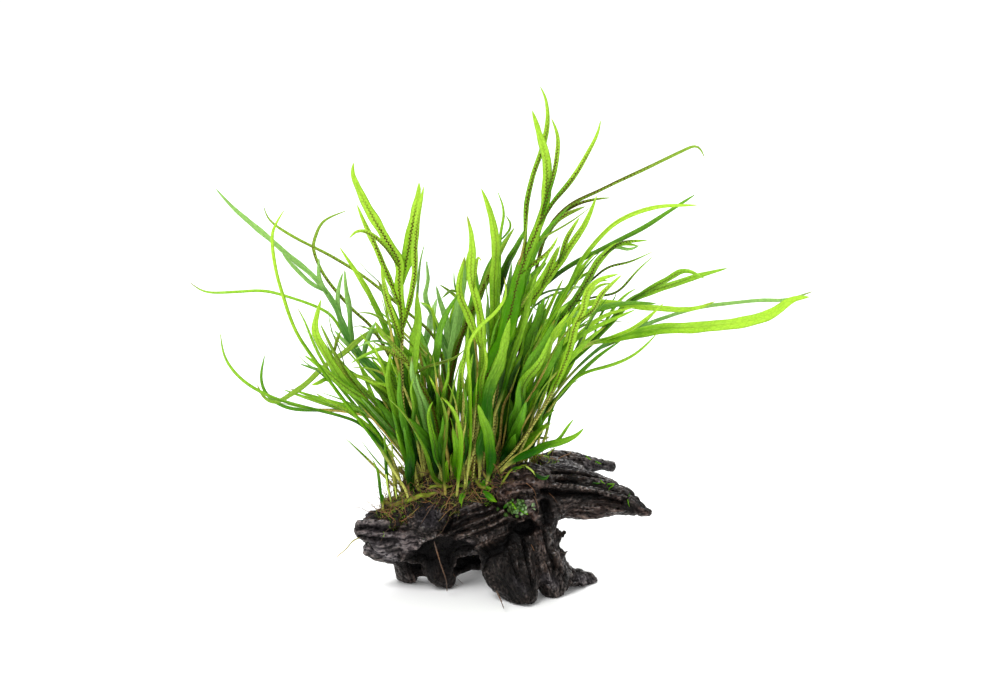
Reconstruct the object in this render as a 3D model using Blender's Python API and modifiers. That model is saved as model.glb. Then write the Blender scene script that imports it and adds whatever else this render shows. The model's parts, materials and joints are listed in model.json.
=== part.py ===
"""Java fern on driftwood: a trident fern rooted along the top of a piece of dark bog wood.

Run with: blender --background --python part.py
Units are metres, +Z is up and +X is to the right of the tracing view.
The origin is on the surface that the wood stands on, at the middle of the front foot's sole.
"""

import math

import bmesh
import bpy
import numpy as np
from mathutils import Vector
from mathutils.bvhtree import BVHTree

MM = 0.001

# Driving dimensions of the real object
OVERALL_WIDTH = 262 * MM
WOOD_CELL = 1.5 * MM
WOOD_FACES = 1900
SAW_KERF = 0.32 * MM
TOUCHING_GAP = 0.35 * MM
RIB_HALF_THICKNESS = 0.42 * MM
STIPE_HALF_WIDTH = 0.6 * MM
FROND_CLEARANCE = 0.45 * MM
RHIZOME_RADIUS = 1.5 * MM
ROOT_RADIUS = 0.35 * MM

# The tracing view: outlines were traced by eye on a picture of this size, from this distance and height
TRACE_FRAME = (1000, 700)
TRACED_WIDTH = 624
PIXEL = OVERALL_WIDTH / TRACED_WIDTH
VIEW_DISTANCE = 1.2
VIEW_ELEVATION = math.radians(12)
FRONT_FOOT = (520, 603)

FOCAL_PIXELS = VIEW_DISTANCE / PIXEL
RIGHT = Vector((1, 0, 0))
UP = Vector((0, math.sin(VIEW_ELEVATION), math.cos(VIEW_ELEVATION)))
FORWARD = Vector((0, math.cos(VIEW_ELEVATION), -math.sin(VIEW_ELEVATION)))


def ray_through(across, down):
    """The direction from the eye through a point of the tracing, one metre deep."""
    right = (across - TRACE_FRAME[0] / 2) / FOCAL_PIXELS
    up = (TRACE_FRAME[1] / 2 - down) / FOCAL_PIXELS
    return FORWARD + RIGHT * right + UP * up


EYE = -VIEW_DISTANCE * ray_through(*FRONT_FOOT)


def place(across, down, depth):
    """The point in space that the tracing shows at (across, down), this far behind the front foot."""
    ray = ray_through(across, down)
    return EYE + ray * ((depth - EYE.y) / ray.y)


def traced(point):
    """Where the tracing shows a point in space."""
    offset = point - EYE
    scale = FOCAL_PIXELS / offset.dot(FORWARD)
    across = TRACE_FRAME[0] / 2 + offset.dot(RIGHT) * scale
    return across, TRACE_FRAME[1] / 2 - offset.dot(UP) * scale


def smooth_path(points, step):
    """Points about one step apart along a Catmull-Rom curve through the given ones."""
    knots = np.array(points, float)
    ends = np.vstack([2 * knots[0] - knots[1], knots, 2 * knots[-1] - knots[-2]])
    dense = []
    for before, start, end, after in zip(ends, ends[1:], ends[2:], ends[3:]):
        for t in np.linspace(0, 1, 16, endpoint=False):
            dense.append(
                0.5
                * (
                    2 * start
                    + (end - before) * t
                    + (2 * before - 5 * start + 4 * end - after) * t**2
                    + (3 * start - before - 3 * end + after) * t**3
                )
            )
    dense.append(knots[-1])
    dense = np.array(dense)
    travelled = np.concatenate([[0], np.cumsum(np.linalg.norm(np.diff(dense, axis=0), axis=1))])
    count = max(3, int(round(travelled[-1] / step)) + 1)
    wanted = np.linspace(0, travelled[-1], count)
    return np.column_stack([np.interp(wanted, travelled, column) for column in dense.T])


def make_material(name, colour, roughness):
    material = bpy.data.materials.new(name)
    material.use_nodes = True
    surface = material.node_tree.nodes["Principled BSDF"]
    surface.inputs["Base Color"].default_value = (*colour, 1)
    surface.inputs["Roughness"].default_value = roughness
    surface.inputs["Metallic"].default_value = 0
    return material


def add_object(name, mesh, collection, colour, roughness):
    obj = bpy.data.objects.new(name, mesh)
    collection.objects.link(obj)
    mesh.materials.clear()
    mesh.materials.append(make_material(name, colour, roughness))
    return obj


def evaluated_mesh(obj):
    """A mesh with the object's modifiers applied."""
    graph = bpy.context.evaluated_depsgraph_get()
    return bpy.data.meshes.new_from_object(obj.evaluated_get(graph))


def loft(rings, tip=None):
    """A closed skin over rings of equally many points, ending in a cap or in a tip point."""
    bm = bmesh.new()
    loops = [[bm.verts.new(point) for point in ring] for ring in rings]
    for ring, following in zip(loops, loops[1:]):
        for i in range(len(ring)):
            j = (i + 1) % len(ring)
            bm.faces.new((ring[i], ring[j], following[j], following[i]))
    bm.faces.new(loops[0])
    if tip is None:
        bm.faces.new(loops[-1])
    else:
        point = bm.verts.new(tip)
        for i in range(len(loops[-1])):
            bm.faces.new((loops[-1][i], loops[-1][(i + 1) % len(loops[-1])], point))
    bmesh.ops.triangulate(bm, faces=bm.faces)
    bmesh.ops.recalc_face_normals(bm, faces=bm.faces)
    return bm


# The driftwood's limbs. A station is (across, down) in the tracing, its depth in mm, and the limb's half
# height and half depth in mm there. The flutes are the long ridges that weathering leaves along the grain.
LIMBS = {
    "log": dict(
        flutes=7,
        relief=0.09,
        stations=[
            (386, 532, 26, 11, 11),
            (420, 525, 25, 13, 14),
            (455, 522, 25, 13, 16),
            (490, 514, 26, 14.5, 18),
            (525, 501, 28, 13.5, 18),
            (556, 489, 30, 12.5, 16),
        ],
    ),
    "upper_finger": dict(
        flutes=4,
        relief=0.12,
        stations=[
            (412, 514, 24, 6, 8),
            (388, 516, 23, 5, 6),
            (374, 517, 21, 3.8, 5),
            (365, 512, 20, 1.6, 2.4),
        ],
    ),
    "middle_finger": dict(
        flutes=4,
        relief=0.12,
        stations=[
            (412, 532, 22, 8, 10),
            (385, 532, 19, 7.2, 8),
            (366, 531, 18, 5.2, 6),
            (355, 531, 18, 3, 3.5),
        ],
    ),
    "lower_finger": dict(
        flutes=4,
        relief=0.12,
        stations=[
            (415, 548, 23, 7, 9),
            (392, 549, 22, 5.6, 7),
            (376, 549, 21, 4, 5),
            (364, 547, 21, 2.4, 3),
        ],
    ),
    "boss": dict(
        flutes=5,
        relief=0.07,
        stations=[(430, 520, 19, 9, 9), (427, 516, 11.5, 8, 7), (426, 515, 9, 6.6, 5.6)],
    ),
    "left_foot": dict(
        flutes=4,
        relief=0.12,
        stations=[
            (406, 548, 24, 7, 8),
            (407, 565, 30, 4.6, 7),
            (410, 577, 38, 4.2, 6),
            (411, 590, 43, 3.8, 5),
        ],
    ),
    "middle_foot": dict(
        flutes=4,
        relief=0.14,
        stations=[
            (438, 552, 22, 8, 9),
            (439, 571, 23, 6.6, 7),
            (448, 583, 25, 3.2, 4.6),
            (451, 598, 26, 2.4, 3.4),
        ],
    ),
    "front_foot": dict(
        flutes=6,
        relief=0.12,
        stations=[
            (507, 520, 22, 14, 14),
            (509, 548, 15, 12.5, 12),
            (512, 572, 8, 12, 10),
            (520, 588, 3, 8.4, 8),
            (525, 606, 0, 5, 6.5),
        ],
    ),
    "right_foot": dict(
        flutes=5,
        relief=0.13,
        stations=[
            (544, 500, 24, 10, 12),
            (541, 528, 20, 6, 10),
            (542, 551, 18, 6.2, 9),
            (552, 571, 16, 7.4, 9),
            (553, 586, 14, 6.4, 7),
            (557, 602, 13, 2.8, 4),
        ],
    ),
    "right_knob": dict(
        flutes=4,
        relief=0.12,
        stations=[
            (554, 573, 18, 6, 7),
            (572, 577, 25, 3.6, 6),
            (583, 579, 31, 3.4, 5.5),
            (592, 583, 35, 2.6, 4),
        ],
    ),
    "stub": dict(
        flutes=3,
        relief=0.1,
        stations=[(545, 560, 16, 3.4, 4), (558, 555, 16, 2.2, 2.6), (569, 551, 16, 1.3, 1.6)],
    ),
    "antler": dict(
        flutes=3,
        relief=0.1,
        stations=[(544, 553, 20, 3.4, 4), (555, 543, 20, 2.1, 2.6), (561, 531, 20, 1.3, 1.6)],
    ),
    "horn": dict(
        flutes=5,
        relief=0.13,
        stations=[
            (545, 489, 28, 13, 14),
            (572, 491, 26, 11.8, 12),
            (598, 496, 22, 8.6, 10),
            (619, 500, 19, 6.2, 8),
            (636, 507, 17, 3.6, 5),
            (652, 514, 16, 1.4, 2),
        ],
    ),
    "prong": dict(
        flutes=4,
        relief=0.13,
        stations=[
            (540, 474, 40, 9, 9),
            (562, 464, 44, 5.8, 6),
            (582, 464, 46, 4, 4.6),
            (614, 467, 48, 1.4, 1.8),
        ],
    ),
    "shoulder": dict(
        flutes=4,
        relief=0.08,
        stations=[
            (492, 492, 19, 5, 6),
            (514, 482, 16, 6.6, 7),
            (534, 480, 15, 6.4, 7),
            (548, 486, 16, 4, 5),
        ],
    ),
    "rear_bulk": dict(
        flutes=6,
        relief=0.12,
        stations=[
            (392, 525, 38, 7, 8),
            (430, 516, 44, 9, 11),
            (480, 503, 50, 9.5, 13),
            (520, 491, 50, 9, 12),
            (556, 482, 46, 7, 8),
        ],
    ),
    "keel": dict(
        flutes=5,
        relief=0.1,
        stations=[
            (404, 553, 34, 6, 8),
            (430, 560, 33, 6.6, 8),
            (456, 560, 34, 6, 8),
            (471, 556, 36, 5, 7),
        ],
    ),
    "rear_foot": dict(
        flutes=5,
        relief=0.14,
        stations=[
            (478, 510, 48, 9, 10),
            (482, 535, 54, 7, 8),
            (488, 556, 60, 5.5, 6),
            (490, 582, 64, 4.6, 5),
        ],
    ),
}
LIMB_SIDES = 32
LIMB_STEP = 3 * MM
LUMPINESS = 0.045

# Where the wood forks, a thin saw cut parts it: centre (across, down, depth mm), the cut's lean and swing
# in degrees, and its half sizes in mm along the cut and in depth.
FORKS = {
    "left": dict(centre=(412, 540, 34), lean=-12, swing=0, half=(32, 48)),
    "right": dict(centre=(566, 478, 34), lean=-6, swing=0, half=(20, 30)),
    "prong": dict(centre=(578, 464, 38.5), lean=0, swing=90, half=(13, 9)),
    "front_foot": dict(centre=(503, 552, 16), lean=50, swing=0, half=(23, 29)),
    "between_feet": dict(centre=(538, 566, 16), lean=-6, swing=0, half=(20, 29)),
    "right_foot": dict(centre=(547, 528, 22), lean=90, swing=0, half=(12, 22)),
    "rear_foot": dict(centre=(482, 535, 54), lean=90, swing=0, half=(12, 15)),
}
# Each piece between the cuts is named by a point near its middle. Chips under the smallest size fall away.
WOOD_PIECES = {
    "driftwood_log": (490, 515, 30),
    "driftwood_left_limb": (385, 532, 26),
    "driftwood_front_foot": (514, 570, 12),
    "driftwood_right_foot": (558, 570, 20),
    "driftwood_rear_foot": (488, 556, 60),
    "driftwood_horn": (600, 496, 22),
    "driftwood_prong": (584, 464, 46),
}
SMALLEST_PIECE = 8e-8
WOOD_COLOUR = (0.035, 0.026, 0.022)
WORN_FACTOR = 0.5
WORN_ROUNDS = 2


def limb_rings(limb, seed):
    """Fluted rings square to the limb's path."""
    stations = [(*place(x, y, d * MM), high * MM, deep * MM) for x, y, d, high, deep in limb["stations"]]
    path = smooth_path(stations, LIMB_STEP)
    rings = []
    for i, (x, y, z, high, deep) in enumerate(path):
        behind = Vector(path[max(i - 1, 0)][:3])
        ahead = Vector(path[min(i + 1, len(path) - 1)][:3])
        along = (ahead - behind).normalized()
        sideways = along.cross(Vector((0, 1, 0)))
        if sideways.length < 0.5:
            sideways = Vector((1, 0, 0))
        sideways.normalize()
        inward = sideways.cross(along)
        travel = i / (len(path) - 1)
        ring = []
        for k in range(LIMB_SIDES):
            angle = math.tau * k / LIMB_SIDES
            wander = seed + 1.3 * math.sin(4 * travel + seed)
            flute = 2 * abs(math.sin(limb["flutes"] * angle / 2 + wander)) - 1.3
            lump = math.sin(2 * angle + 5 * travel + 2 * seed) + math.sin(3 * angle - 7 * travel + seed)
            swell = 1 + limb["relief"] * flute + LUMPINESS * lump
            offset = sideways * math.cos(angle) * high + inward * math.sin(angle) * deep
            ring.append(Vector((x, y, z)) + offset * swell)
        rings.append(ring)
    return rings


def saw_blade(fork, collection):
    """A thin box standing in a fork: it runs along its lean and back along its swing."""
    bm = bmesh.new()
    bmesh.ops.create_cube(bm, size=1)
    along, deep = fork["half"]
    bmesh.ops.scale(bm, vec=(SAW_KERF, 2 * deep * MM, 2 * along * MM), verts=bm.verts)
    mesh = bpy.data.meshes.new("saw_blade")
    bm.to_mesh(mesh)
    bm.free()
    blade = bpy.data.objects.new("saw_blade", mesh)
    across, down, depth = fork["centre"]
    blade.location = place(across, down, depth * MM)
    blade.rotation_euler = (0, math.radians(fork["lean"]), math.radians(fork["swing"]))
    blade.hide_render = True
    blade.display_type = "WIRE"
    collection.objects.link(blade)
    return blade


def grown_wood(collection):
    """All limbs grown into one skin, with the feet worn flat where they stand."""
    whole = bmesh.new()
    for number, limb in enumerate(LIMBS.values()):
        skin = loft(limb_rings(limb, 1.7 * number))
        mesh = bpy.data.meshes.new("limb")
        skin.to_mesh(mesh)
        skin.free()
        whole.from_mesh(mesh)
        bpy.data.meshes.remove(mesh)
    mesh = bpy.data.meshes.new("grown_wood")
    whole.to_mesh(mesh)
    whole.free()
    wood = bpy.data.objects.new("grown_wood", mesh)
    collection.objects.link(wood)
    skin = wood.modifiers.new("one_skin", "REMESH")
    skin.mode = "VOXEL"
    skin.voxel_size = WOOD_CELL
    worn = wood.modifiers.new("worn", "SMOOTH")
    worn.factor = WORN_FACTOR
    worn.iterations = WORN_ROUNDS
    bpy.context.view_layer.update()
    thin = wood.modifiers.new("few_faces", "DECIMATE")
    thin.ratio = WOOD_FACES / (2 * len(evaluated_mesh(wood).polygons))
    bpy.context.view_layer.update()
    bm = bmesh.new()
    bm.from_mesh(evaluated_mesh(wood))
    everything = bm.verts[:] + bm.edges[:] + bm.faces[:]
    bmesh.ops.bisect_plane(bm, geom=everything, plane_co=(0, 0, 0), plane_no=(0, 0, -1), clear_outer=True)
    bmesh.ops.holes_fill(bm, edges=[edge for edge in bm.edges if edge.is_boundary])
    bmesh.ops.triangulate(bm, faces=bm.faces)
    bmesh.ops.recalc_face_normals(bm, faces=bm.faces)
    wood.modifiers.clear()
    bm.to_mesh(wood.data)
    bm.free()
    return wood


def split_loose(mesh):
    """One bmesh for each loose body of the mesh."""
    bm = bmesh.new()
    bm.from_mesh(mesh)
    waiting = set(bm.verts)
    bodies = []
    while waiting:
        body = set()
        edge_of_body = [next(iter(waiting))]
        while edge_of_body:
            vert = edge_of_body.pop()
            if vert in body:
                continue
            body.add(vert)
            edge_of_body.extend(edge.other_vert(vert) for edge in vert.link_edges)
        waiting -= body
        bodies.append({vert.index for vert in body})
    bm.free()
    pieces = []
    for body in bodies:
        piece = bmesh.new()
        piece.from_mesh(mesh)
        others = [vert for vert in piece.verts if vert.index not in body]
        bmesh.ops.delete(piece, geom=others, context="VERTS")
        pieces.append(piece)
    return pieces


def make_driftwood(parts, cutters):
    """The driftwood's pieces, parted at its main forks."""
    wood = grown_wood(cutters)
    wood.hide_render = True
    wood.display_type = "WIRE"
    for name, fork in FORKS.items():
        cut = wood.modifiers.new(name, "BOOLEAN")
        cut.operation = "DIFFERENCE"
        cut.object = saw_blade(fork, cutters)
    bpy.context.view_layer.update()
    for piece in split_loose(evaluated_mesh(wood)):
        if abs(piece.calc_volume()) < SMALLEST_PIECE:
            piece.free()
            continue
        middle = sum((vert.co for vert in piece.verts), Vector()) / len(piece.verts)
        nearest = min(WOOD_PIECES, key=lambda name: (middle - wood_middle(name)).length)
        bmesh.ops.triangulate(piece, faces=piece.faces)
        mesh = bpy.data.meshes.new(nearest)
        piece.to_mesh(mesh)
        piece.free()
        add_object(nearest, mesh, parts, WOOD_COLOUR, 0.45)


def wood_middle(name):
    across, down, depth = WOOD_PIECES[name]
    return place(across, down, depth * MM)


# Creeping rhizomes on top of the wood: (across, depth in mm) of each bend. Roots are traced (across, down)
# with a depth in mm.
RHIZOMES = {
    "rhizome_left": [(382, 22), (398, 24), (418, 22), (438, 25), (456, 30)],
    "rhizome_right": [(466, 22), (484, 27), (504, 25), (524, 30), (546, 28)],
}
ROOTS = {
    "root_hanging": [(434, 541, 7), (440, 562, 6), (446, 580, 8), (447, 592, 12)],
    "root_front": [(496, 590, -5), (501, 601, -8), (504, 609, -13)],
    "root_left": [(353, 541, 15), (346, 549, 13), (339, 555, 11), (336, 559, 10)],
}

# The fronds. Each has its seat on the wood (across, depth in mm) and its blades. The first blade rises from
# the seat; the others fork off it. A blade has the depth of its tip and its broadest width in mm, the turn
# of its face about its own length in degrees, and its midrib as traced from base to tip.
FRONDS = {
    "frond_grey_forked": dict(
        seat=(446, 26),
        blades=[
            (40, 4.6, 20,
             "437,453 419,435 394,405 377,375 353,348 336,309 318,281 296,262 253,225 235,210 "
             "215,188"),
            (46, 2.2, -30, "319,290 312,284 300,272 287,259 281,250"),
            (34, 2.0, 25, "324,292 319,280 318,270 319,257"),
            (30, 2.8, -35, "352,344 351,325 350,308 346,286 345,269"),
            (44, 2.4, 30, "342,322 337,305 338,288 343,272"),
            (30, 2.0, 40, "358,352 340,338 334,330"),
            (22, 2.6, -25, "359,355 371,332 376,322"),
        ],
    ),
    "frond_olive_drooping": dict(
        seat=(428, 32),
        blades=[
            (22, 2.6, -30,
             "432,462 424,430 414,396 403,362 392,339 378,329 362,337 345,352 330,362 318,372 "
             "300,388 275,403 262,395 257,384"),
        ],
    ),
    "frond_thread_left": dict(
        seat=(434, 36),
        blades=[
            (58, 1.4, 45,
             "440,450 405,398 372,366 346,338 333,317 319,308 292,298 265,291 235,292 205,292 "
             "188,281"),
        ],
    ),
    "frond_long_left": dict(
        seat=(456, 36),
        blades=[
            (56, 1.5, 40, "452,430 444,370 434,337 407,312 367,279 336,259 292,236 269,220 263,204"),
        ],
    ),
    "frond_strap_left": dict(
        seat=(409, 13),
        blades=[
            (-20, 1.8, -40,
             "407,492 395,473 384,454 364,426 340,395 318,364 297,333 283,295 276,269 272,236 "
             "277,222 285,209"),
        ],
    ),
    "frond_faint_left": dict(
        seat=(402, 26),
        blades=[
            (28, 1.5, 45, "397,470 380,436 352,402 333,378 316,349 305,322 297,307"),
        ],
    ),
    "frond_lime_left": dict(
        seat=(422, 20),
        blades=[
            (0, 4.0, 20, "419,466 398,444 376,419 362,404 345,384 329,360 316,335 315,322 321,299"),
        ],
    ),
    "frond_olive_left": dict(
        seat=(414, 29),
        blades=[
            (10, 2.4, -35, "414,462 394,420 365,393 350,380 340,363 330,344 320,323"),
            (14, 1.6, 30, "333,350 337,339 341,330"),
        ],
    ),
    "frond_low_left": dict(
        seat=(396, 15),
        blades=[
            (-14, 1.5, 45, "390,460 364,427 340,416 300,406 269,396 242,380 225,358 220,332"),
        ],
    ),
    "frond_low_left_rear": dict(
        seat=(436, 40),
        blades=[
            (42, 2.0, -40, "436,462 414,432 385,420 358,411 322,410 289,408 268,396 261,378 265,354"),
        ],
    ),
    "frond_trident": dict(
        seat=(419, 14),
        blades=[
            (-16, 4.0, 12,
             "415,470 404,412 402,368 402,325 399,285 399,261 387,241 373,217 360,193 352,172 "
             "354,162"),
            (-4, 5.2, 18, "400,282 406,263 410,239 415,211 418,198 419,182"),
            (-22, 3.0, -25, "402,325 410,302 415,275 415,252 417,226 421,203 424,186"),
            (-26, 2.2, 35, "399,265 384,245 370,234 358,230 349,239"),
            (-8, 3.0, -30, "400,302 387,273 381,258 373,240 363,219 357,204"),
            (-20, 3.0, 28, "402,340 391,312 386,297 383,281 381,265"),
        ],
    ),
    "frond_curl_left": dict(
        seat=(426, 40),
        blades=[
            (40, 1.6, 40, "426,455 405,390 376,333 352,309 325,277 313,249 315,238 323,221 348,210"),
        ],
    ),
    "frond_blue_green": dict(
        seat=(436, 15),
        blades=[
            (4, 4.8, 20, "436,458 426,436 419,412 413,380 414,345 418,324 417,308 417,291"),
        ],
    ),
    "frond_short_left": dict(
        seat=(408, 21),
        blades=[
            (4, 3.2, -20, "408,462 396,412 388,382 389,365 392,347"),
        ],
    ),
    "frond_olive_middle": dict(
        seat=(444, 22),
        blades=[
            (-14, 2.8, -22, "441,452 433,409 419,384 404,357 390,342 376,322"),
            (-18, 1.6, 40, "404,360 390,352 373,342"),
        ],
    ),
    "frond_rear_fan": dict(
        seat=(462, 40),
        blades=[
            (44, 3.8, 20, "458,440 450,380 448,340 445,318 440,302 436,285"),
            (50, 3.0, -25, "449,350 455,318 459,302 461,288"),
            (38, 2.6, 30, "448,345 434,320 424,298 428,282 426,260"),
            (52, 2.4, -30, "449,362 440,335 432,312 420,302"),
        ],
    ),
    "frond_upright_left": dict(
        seat=(458, 22),
        blades=[
            (2, 3.6, 20, "464,448 473,418 480,380 482,330 477,303 471,276 472,240 467,215"),
            (14, 3.4, -20, "480,345 467,312 459,294 460,278 465,256"),
            (-6, 1.3, 40, "474,286 476,266 478,254 482,262"),
        ],
    ),
    "frond_upright_middle": dict(
        seat=(474, 30),
        blades=[
            (-2, 3.8, -18, "478,440 486,395 493,345 494,305 494,280 496,240 488,205 481,188"),
        ],
    ),
    "frond_thin_middle": dict(
        seat=(480, 38),
        blades=[
            (34, 1.6, 40, "486,450 492,400 497,340 499,280 500,237 504,212 497,190"),
            (28, 1.1, 30, "501,236 508,232 512,225 505,215"),
        ],
    ),
    "frond_tallest": dict(
        seat=(470, 14),
        blades=[
            (-18, 8.0, 14,
             "474,462 478,395 490,371 500,349 512,307 518,279 528,252 536,232 544,208 547,178 "
             "544,150 532,110"),
            (-10, 2.4, -20, "528,256 526,226 527,203 533,176 543,148 548,120 546,98 540,86"),
            (-26, 2.4, 25, "544,212 549,188 555,167 558,143 556,130 551,118"),
            (-32, 2.4, -25, "541,224 553,203 569,184 585,159 597,136 601,120"),
            (-8, 2.0, 35, "524,272 542,257 552,247 558,236"),
        ],
    ),
    "frond_dotted": dict(
        seat=(448, 31),
        blades=[
            (18, 3.0, -15, "451,440 449,390 455,356 465,327 481,292 498,256 508,238 515,227"),
        ],
    ),
    "frond_bright_thin": dict(
        seat=(464, 14),
        blades=[
            (-28, 1.7, 40, "470,448 470,390 468,348 480,326 494,314 506,296 504,277"),
        ],
    ),
    "frond_hook_right": dict(
        seat=(500, 38),
        blades=[
            (38, 1.8, 35,
             "503,440 516,370 530,300 545,236 567,207 602,189 640,171 680,152 698,145 705,159"),
            (44, 1.5, -35, "560,213 578,204 598,199 612,198"),
            (30, 2.2, 20, "545,236 556,221 571,212 586,206"),
        ],
    ),
    "frond_lime_right": dict(
        seat=(486, 21),
        blades=[
            (0, 3.2, 20, "492,440 499,385 510,325 534,298 552,273 571,245 586,222 597,195"),
            (-6, 2.4, -30, "560,264 563,252 567,238 580,217"),
            (6, 2.4, 30, "544,287 552,264 560,245"),
        ],
    ),
    "frond_dark_strap": dict(
        seat=(490, 42),
        blades=[
            (26, 2.4, -30, "498,430 503,370 514,320 536,293 567,268 602,249 638,231 670,211 696,194"),
        ],
    ),
    "frond_arched_lime": dict(
        seat=(508, 20),
        blades=[
            (-28, 2.2, 30, "512,430 522,378 545,330 568,288 580,263 598,239 620,220 655,207 699,205"),
        ],
    ),
    "frond_dotted_right": dict(
        seat=(510, 31),
        blades=[
            (-20, 3.2, -18,
             "512,448 517,427 524,400 535,360 549,333 568,311 586,283 600,259 618,244 639,246"),
            (-26, 1.6, 30, "606,253 620,243 648,240"),
            (-12, 1.1, 20, "586,286 606,268 629,262 654,251"),
            (-32, 1.1, -20, "578,300 600,296 618,292 638,270 655,255"),
        ],
    ),
    "frond_yellow_front": dict(
        seat=(478, 19),
        blades=[
            (-42, 3.4, 20,
             "488,476 514,451 543,409 556,384 569,351 575,325 583,312 587,291 600,279 619,274"),
            (-50, 2.4, -25, "581,318 594,310 600,296 611,285 622,275"),
        ],
    ),
    "frond_forked_right": dict(
        seat=(516, 38),
        blades=[
            (32, 3.2, 25, "522,435 545,390 594,339 616,316 636,297 674,284 700,275 728,268"),
            (24, 2.8, -25, "634,299 652,288 669,279 685,270 705,279"),
        ],
    ),
    "frond_level_right": dict(
        seat=(506, 46),
        blades=[
            (18, 2.8, 20, "516,425 533,365 560,325 588,303 611,303 656,308 692,309 716,301"),
        ],
    ),
    "frond_far_right": dict(
        seat=(530, 35),
        blades=[
            (52, 2.1, -35, "535,430 562,385 600,348 633,331 664,318 704,307 755,301 786,300 814,291"),
        ],
    ),
    "frond_broad_right": dict(
        seat=(520, 24),
        blades=[
            (-32, 4.8, 12,
             "528,445 550,392 580,349 616,338 657,329 697,327 743,322 770,314 793,299 810,297"),
            (-24, 1.8, -30, "606,341 629,331 645,320 655,312 664,303"),
        ],
    ),
    "frond_thin_right": dict(
        seat=(534, 32),
        blades=[
            (-12, 1.6, 35, "533,458 545,438 554,403 578,376 611,365 632,356 647,344 658,332"),
        ],
    ),
    "frond_bundle_right": dict(
        seat=(517, 50),
        blades=[
            (12, 2.2, -25, "532,440 545,412 560,396 574,379 600,355 622,340"),
        ],
    ),
    "frond_low_right": dict(
        seat=(498, 14),
        blades=[
            (-24, 3.6, 18, "510,463 527,454 545,446 563,441 576,436 584,428"),
            (-18, 1.5, -30, "551,446 559,440 566,429 574,419"),
        ],
    ),
    "frond_front_leaf": dict(
        seat=(486, 13),
        blades=[
            (-18, 5.0, 12, "490,464 490,448 487,431 482,417 478,404"),
        ],
    ),
    "frond_broad_dark": dict(
        seat=(431, 21),
        blades=[
            (-6, 5.4, -15, "438,466 434,450 425,437 417,428 408,418"),
        ],
    ),
    "frond_bright_middle": dict(
        seat=(456, 13),
        blades=[
            (-30, 2.3, 25, "460,462 461,440 457,418 450,405 441,397"),
        ],
    ),
    "frond_curved_stem": dict(
        seat=(446, 13),
        blades=[
            (-24, 1.5, 30, "443,460 445,443 447,427 446,412 440,397"),
        ],
    ),
    "frond_dark_right": dict(
        seat=(498, 30),
        blades=[
            (12, 5.2, 15, "504,448 512,412 520,384 528,356 538,330 546,308"),
        ],
    ),
    "frond_dark_middle": dict(
        seat=(482, 45),
        blades=[
            (34, 5.4, -18, "488,455 498,422 508,396 517,372 525,346 531,320"),
        ],
    ),
    "frond_fiddlehead": dict(
        seat=(383, 17),
        blades=[
            (-8, 1.5, 20, "380,490 379,478 377,468 372,459"),
        ],
    ),
    "frond_young_left": dict(
        seat=(390, 22),
        blades=[
            (2, 1.6, 30, "388,488 386,470 385,452 385,436"),
        ],
    ),
    "frond_yellow_stem": dict(
        seat=(450, 19),
        blades=[
            (-14, 1.9, 20, "445,484 437,482 431,472 429,462 424,448 414,430"),
        ],
    ),
    "frond_rear_left": dict(
        seat=(446, 46),
        blades=[
            (86, 5.0, 25, "440,440 432,390 424,350 414,318"),
            (78, 2.8, -30, "431,386 438,350 440,322"),
        ],
    ),
    "frond_rear_middle": dict(
        seat=(474, 48),
        blades=[
            (78, 5.0, -25, "474,440 474,380 470,330 476,290 474,262"),
            (88, 2.8, 25, "472,345 462,318 456,296"),
        ],
    ),
    "frond_rear_right": dict(
        seat=(500, 52),
        blades=[
            (92, 5.0, 20, "508,430 526,370 548,325 574,298"),
            (84, 2.6, -30, "532,360 536,325 540,300"),
        ],
    ),
}

# A main blade is a bare stalk up to the first share of its length and has its full width from the second.
# The fronds named here have longer or shorter stalks than the rest
BODY_RISE = (0.1, 0.38)
FORK_RISE = (0, 0.35)
FORK_START = 0.6
FORK_NECK = 1.5
BODY_RISES = {
    "frond_trident": (0.42, 0.62),
    "frond_upright_left": (0.34, 0.55),
    "frond_upright_middle": (0.3, 0.5),
    "frond_yellow_front": (0.4, 0.6),
    "frond_broad_right": (0.34, 0.56),
    "frond_dotted_right": (0.22, 0.45),
    "frond_forked_right": (0.3, 0.5),
    "frond_lime_right": (0.25, 0.48),
    "frond_arched_lime": (0.3, 0.5),
    "frond_far_right": (0.25, 0.45),
    "frond_level_right": (0.3, 0.5),
    "frond_lime_left": (0.2, 0.4),
    "frond_blue_green": (0.18, 0.4),
    "frond_front_leaf": (0.05, 0.35),
    "frond_broad_dark": (0.05, 0.4),
    "frond_dark_right": (0.04, 0.24),
    "frond_dark_middle": (0.04, 0.24),
    "frond_rear_left": (0.04, 0.22),
    "frond_rear_middle": (0.04, 0.22),
    "frond_rear_right": (0.04, 0.22),
}
# Fronds whose main blade narrows past a fork: where that begins and ends, and the share of width kept
WAISTS = {
    "frond_tallest": (0.48, 0.66, 0.5),
    "frond_grey_forked": (0.42, 0.55, 0.55),
}

FROND_COLOUR = (0.16, 0.42, 0.05)
RHIZOME_COLOUR = (0.2, 0.28, 0.06)
ROOT_COLOUR = (0.25, 0.12, 0.05)
CAD_STEP = 10 * MM
SETTLE_STEP = 2 * MM
SETTLE_ROUNDS = 400
FOOT_HOLD = 12 * MM
FOOTPRINT = 1.3 * MM


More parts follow.
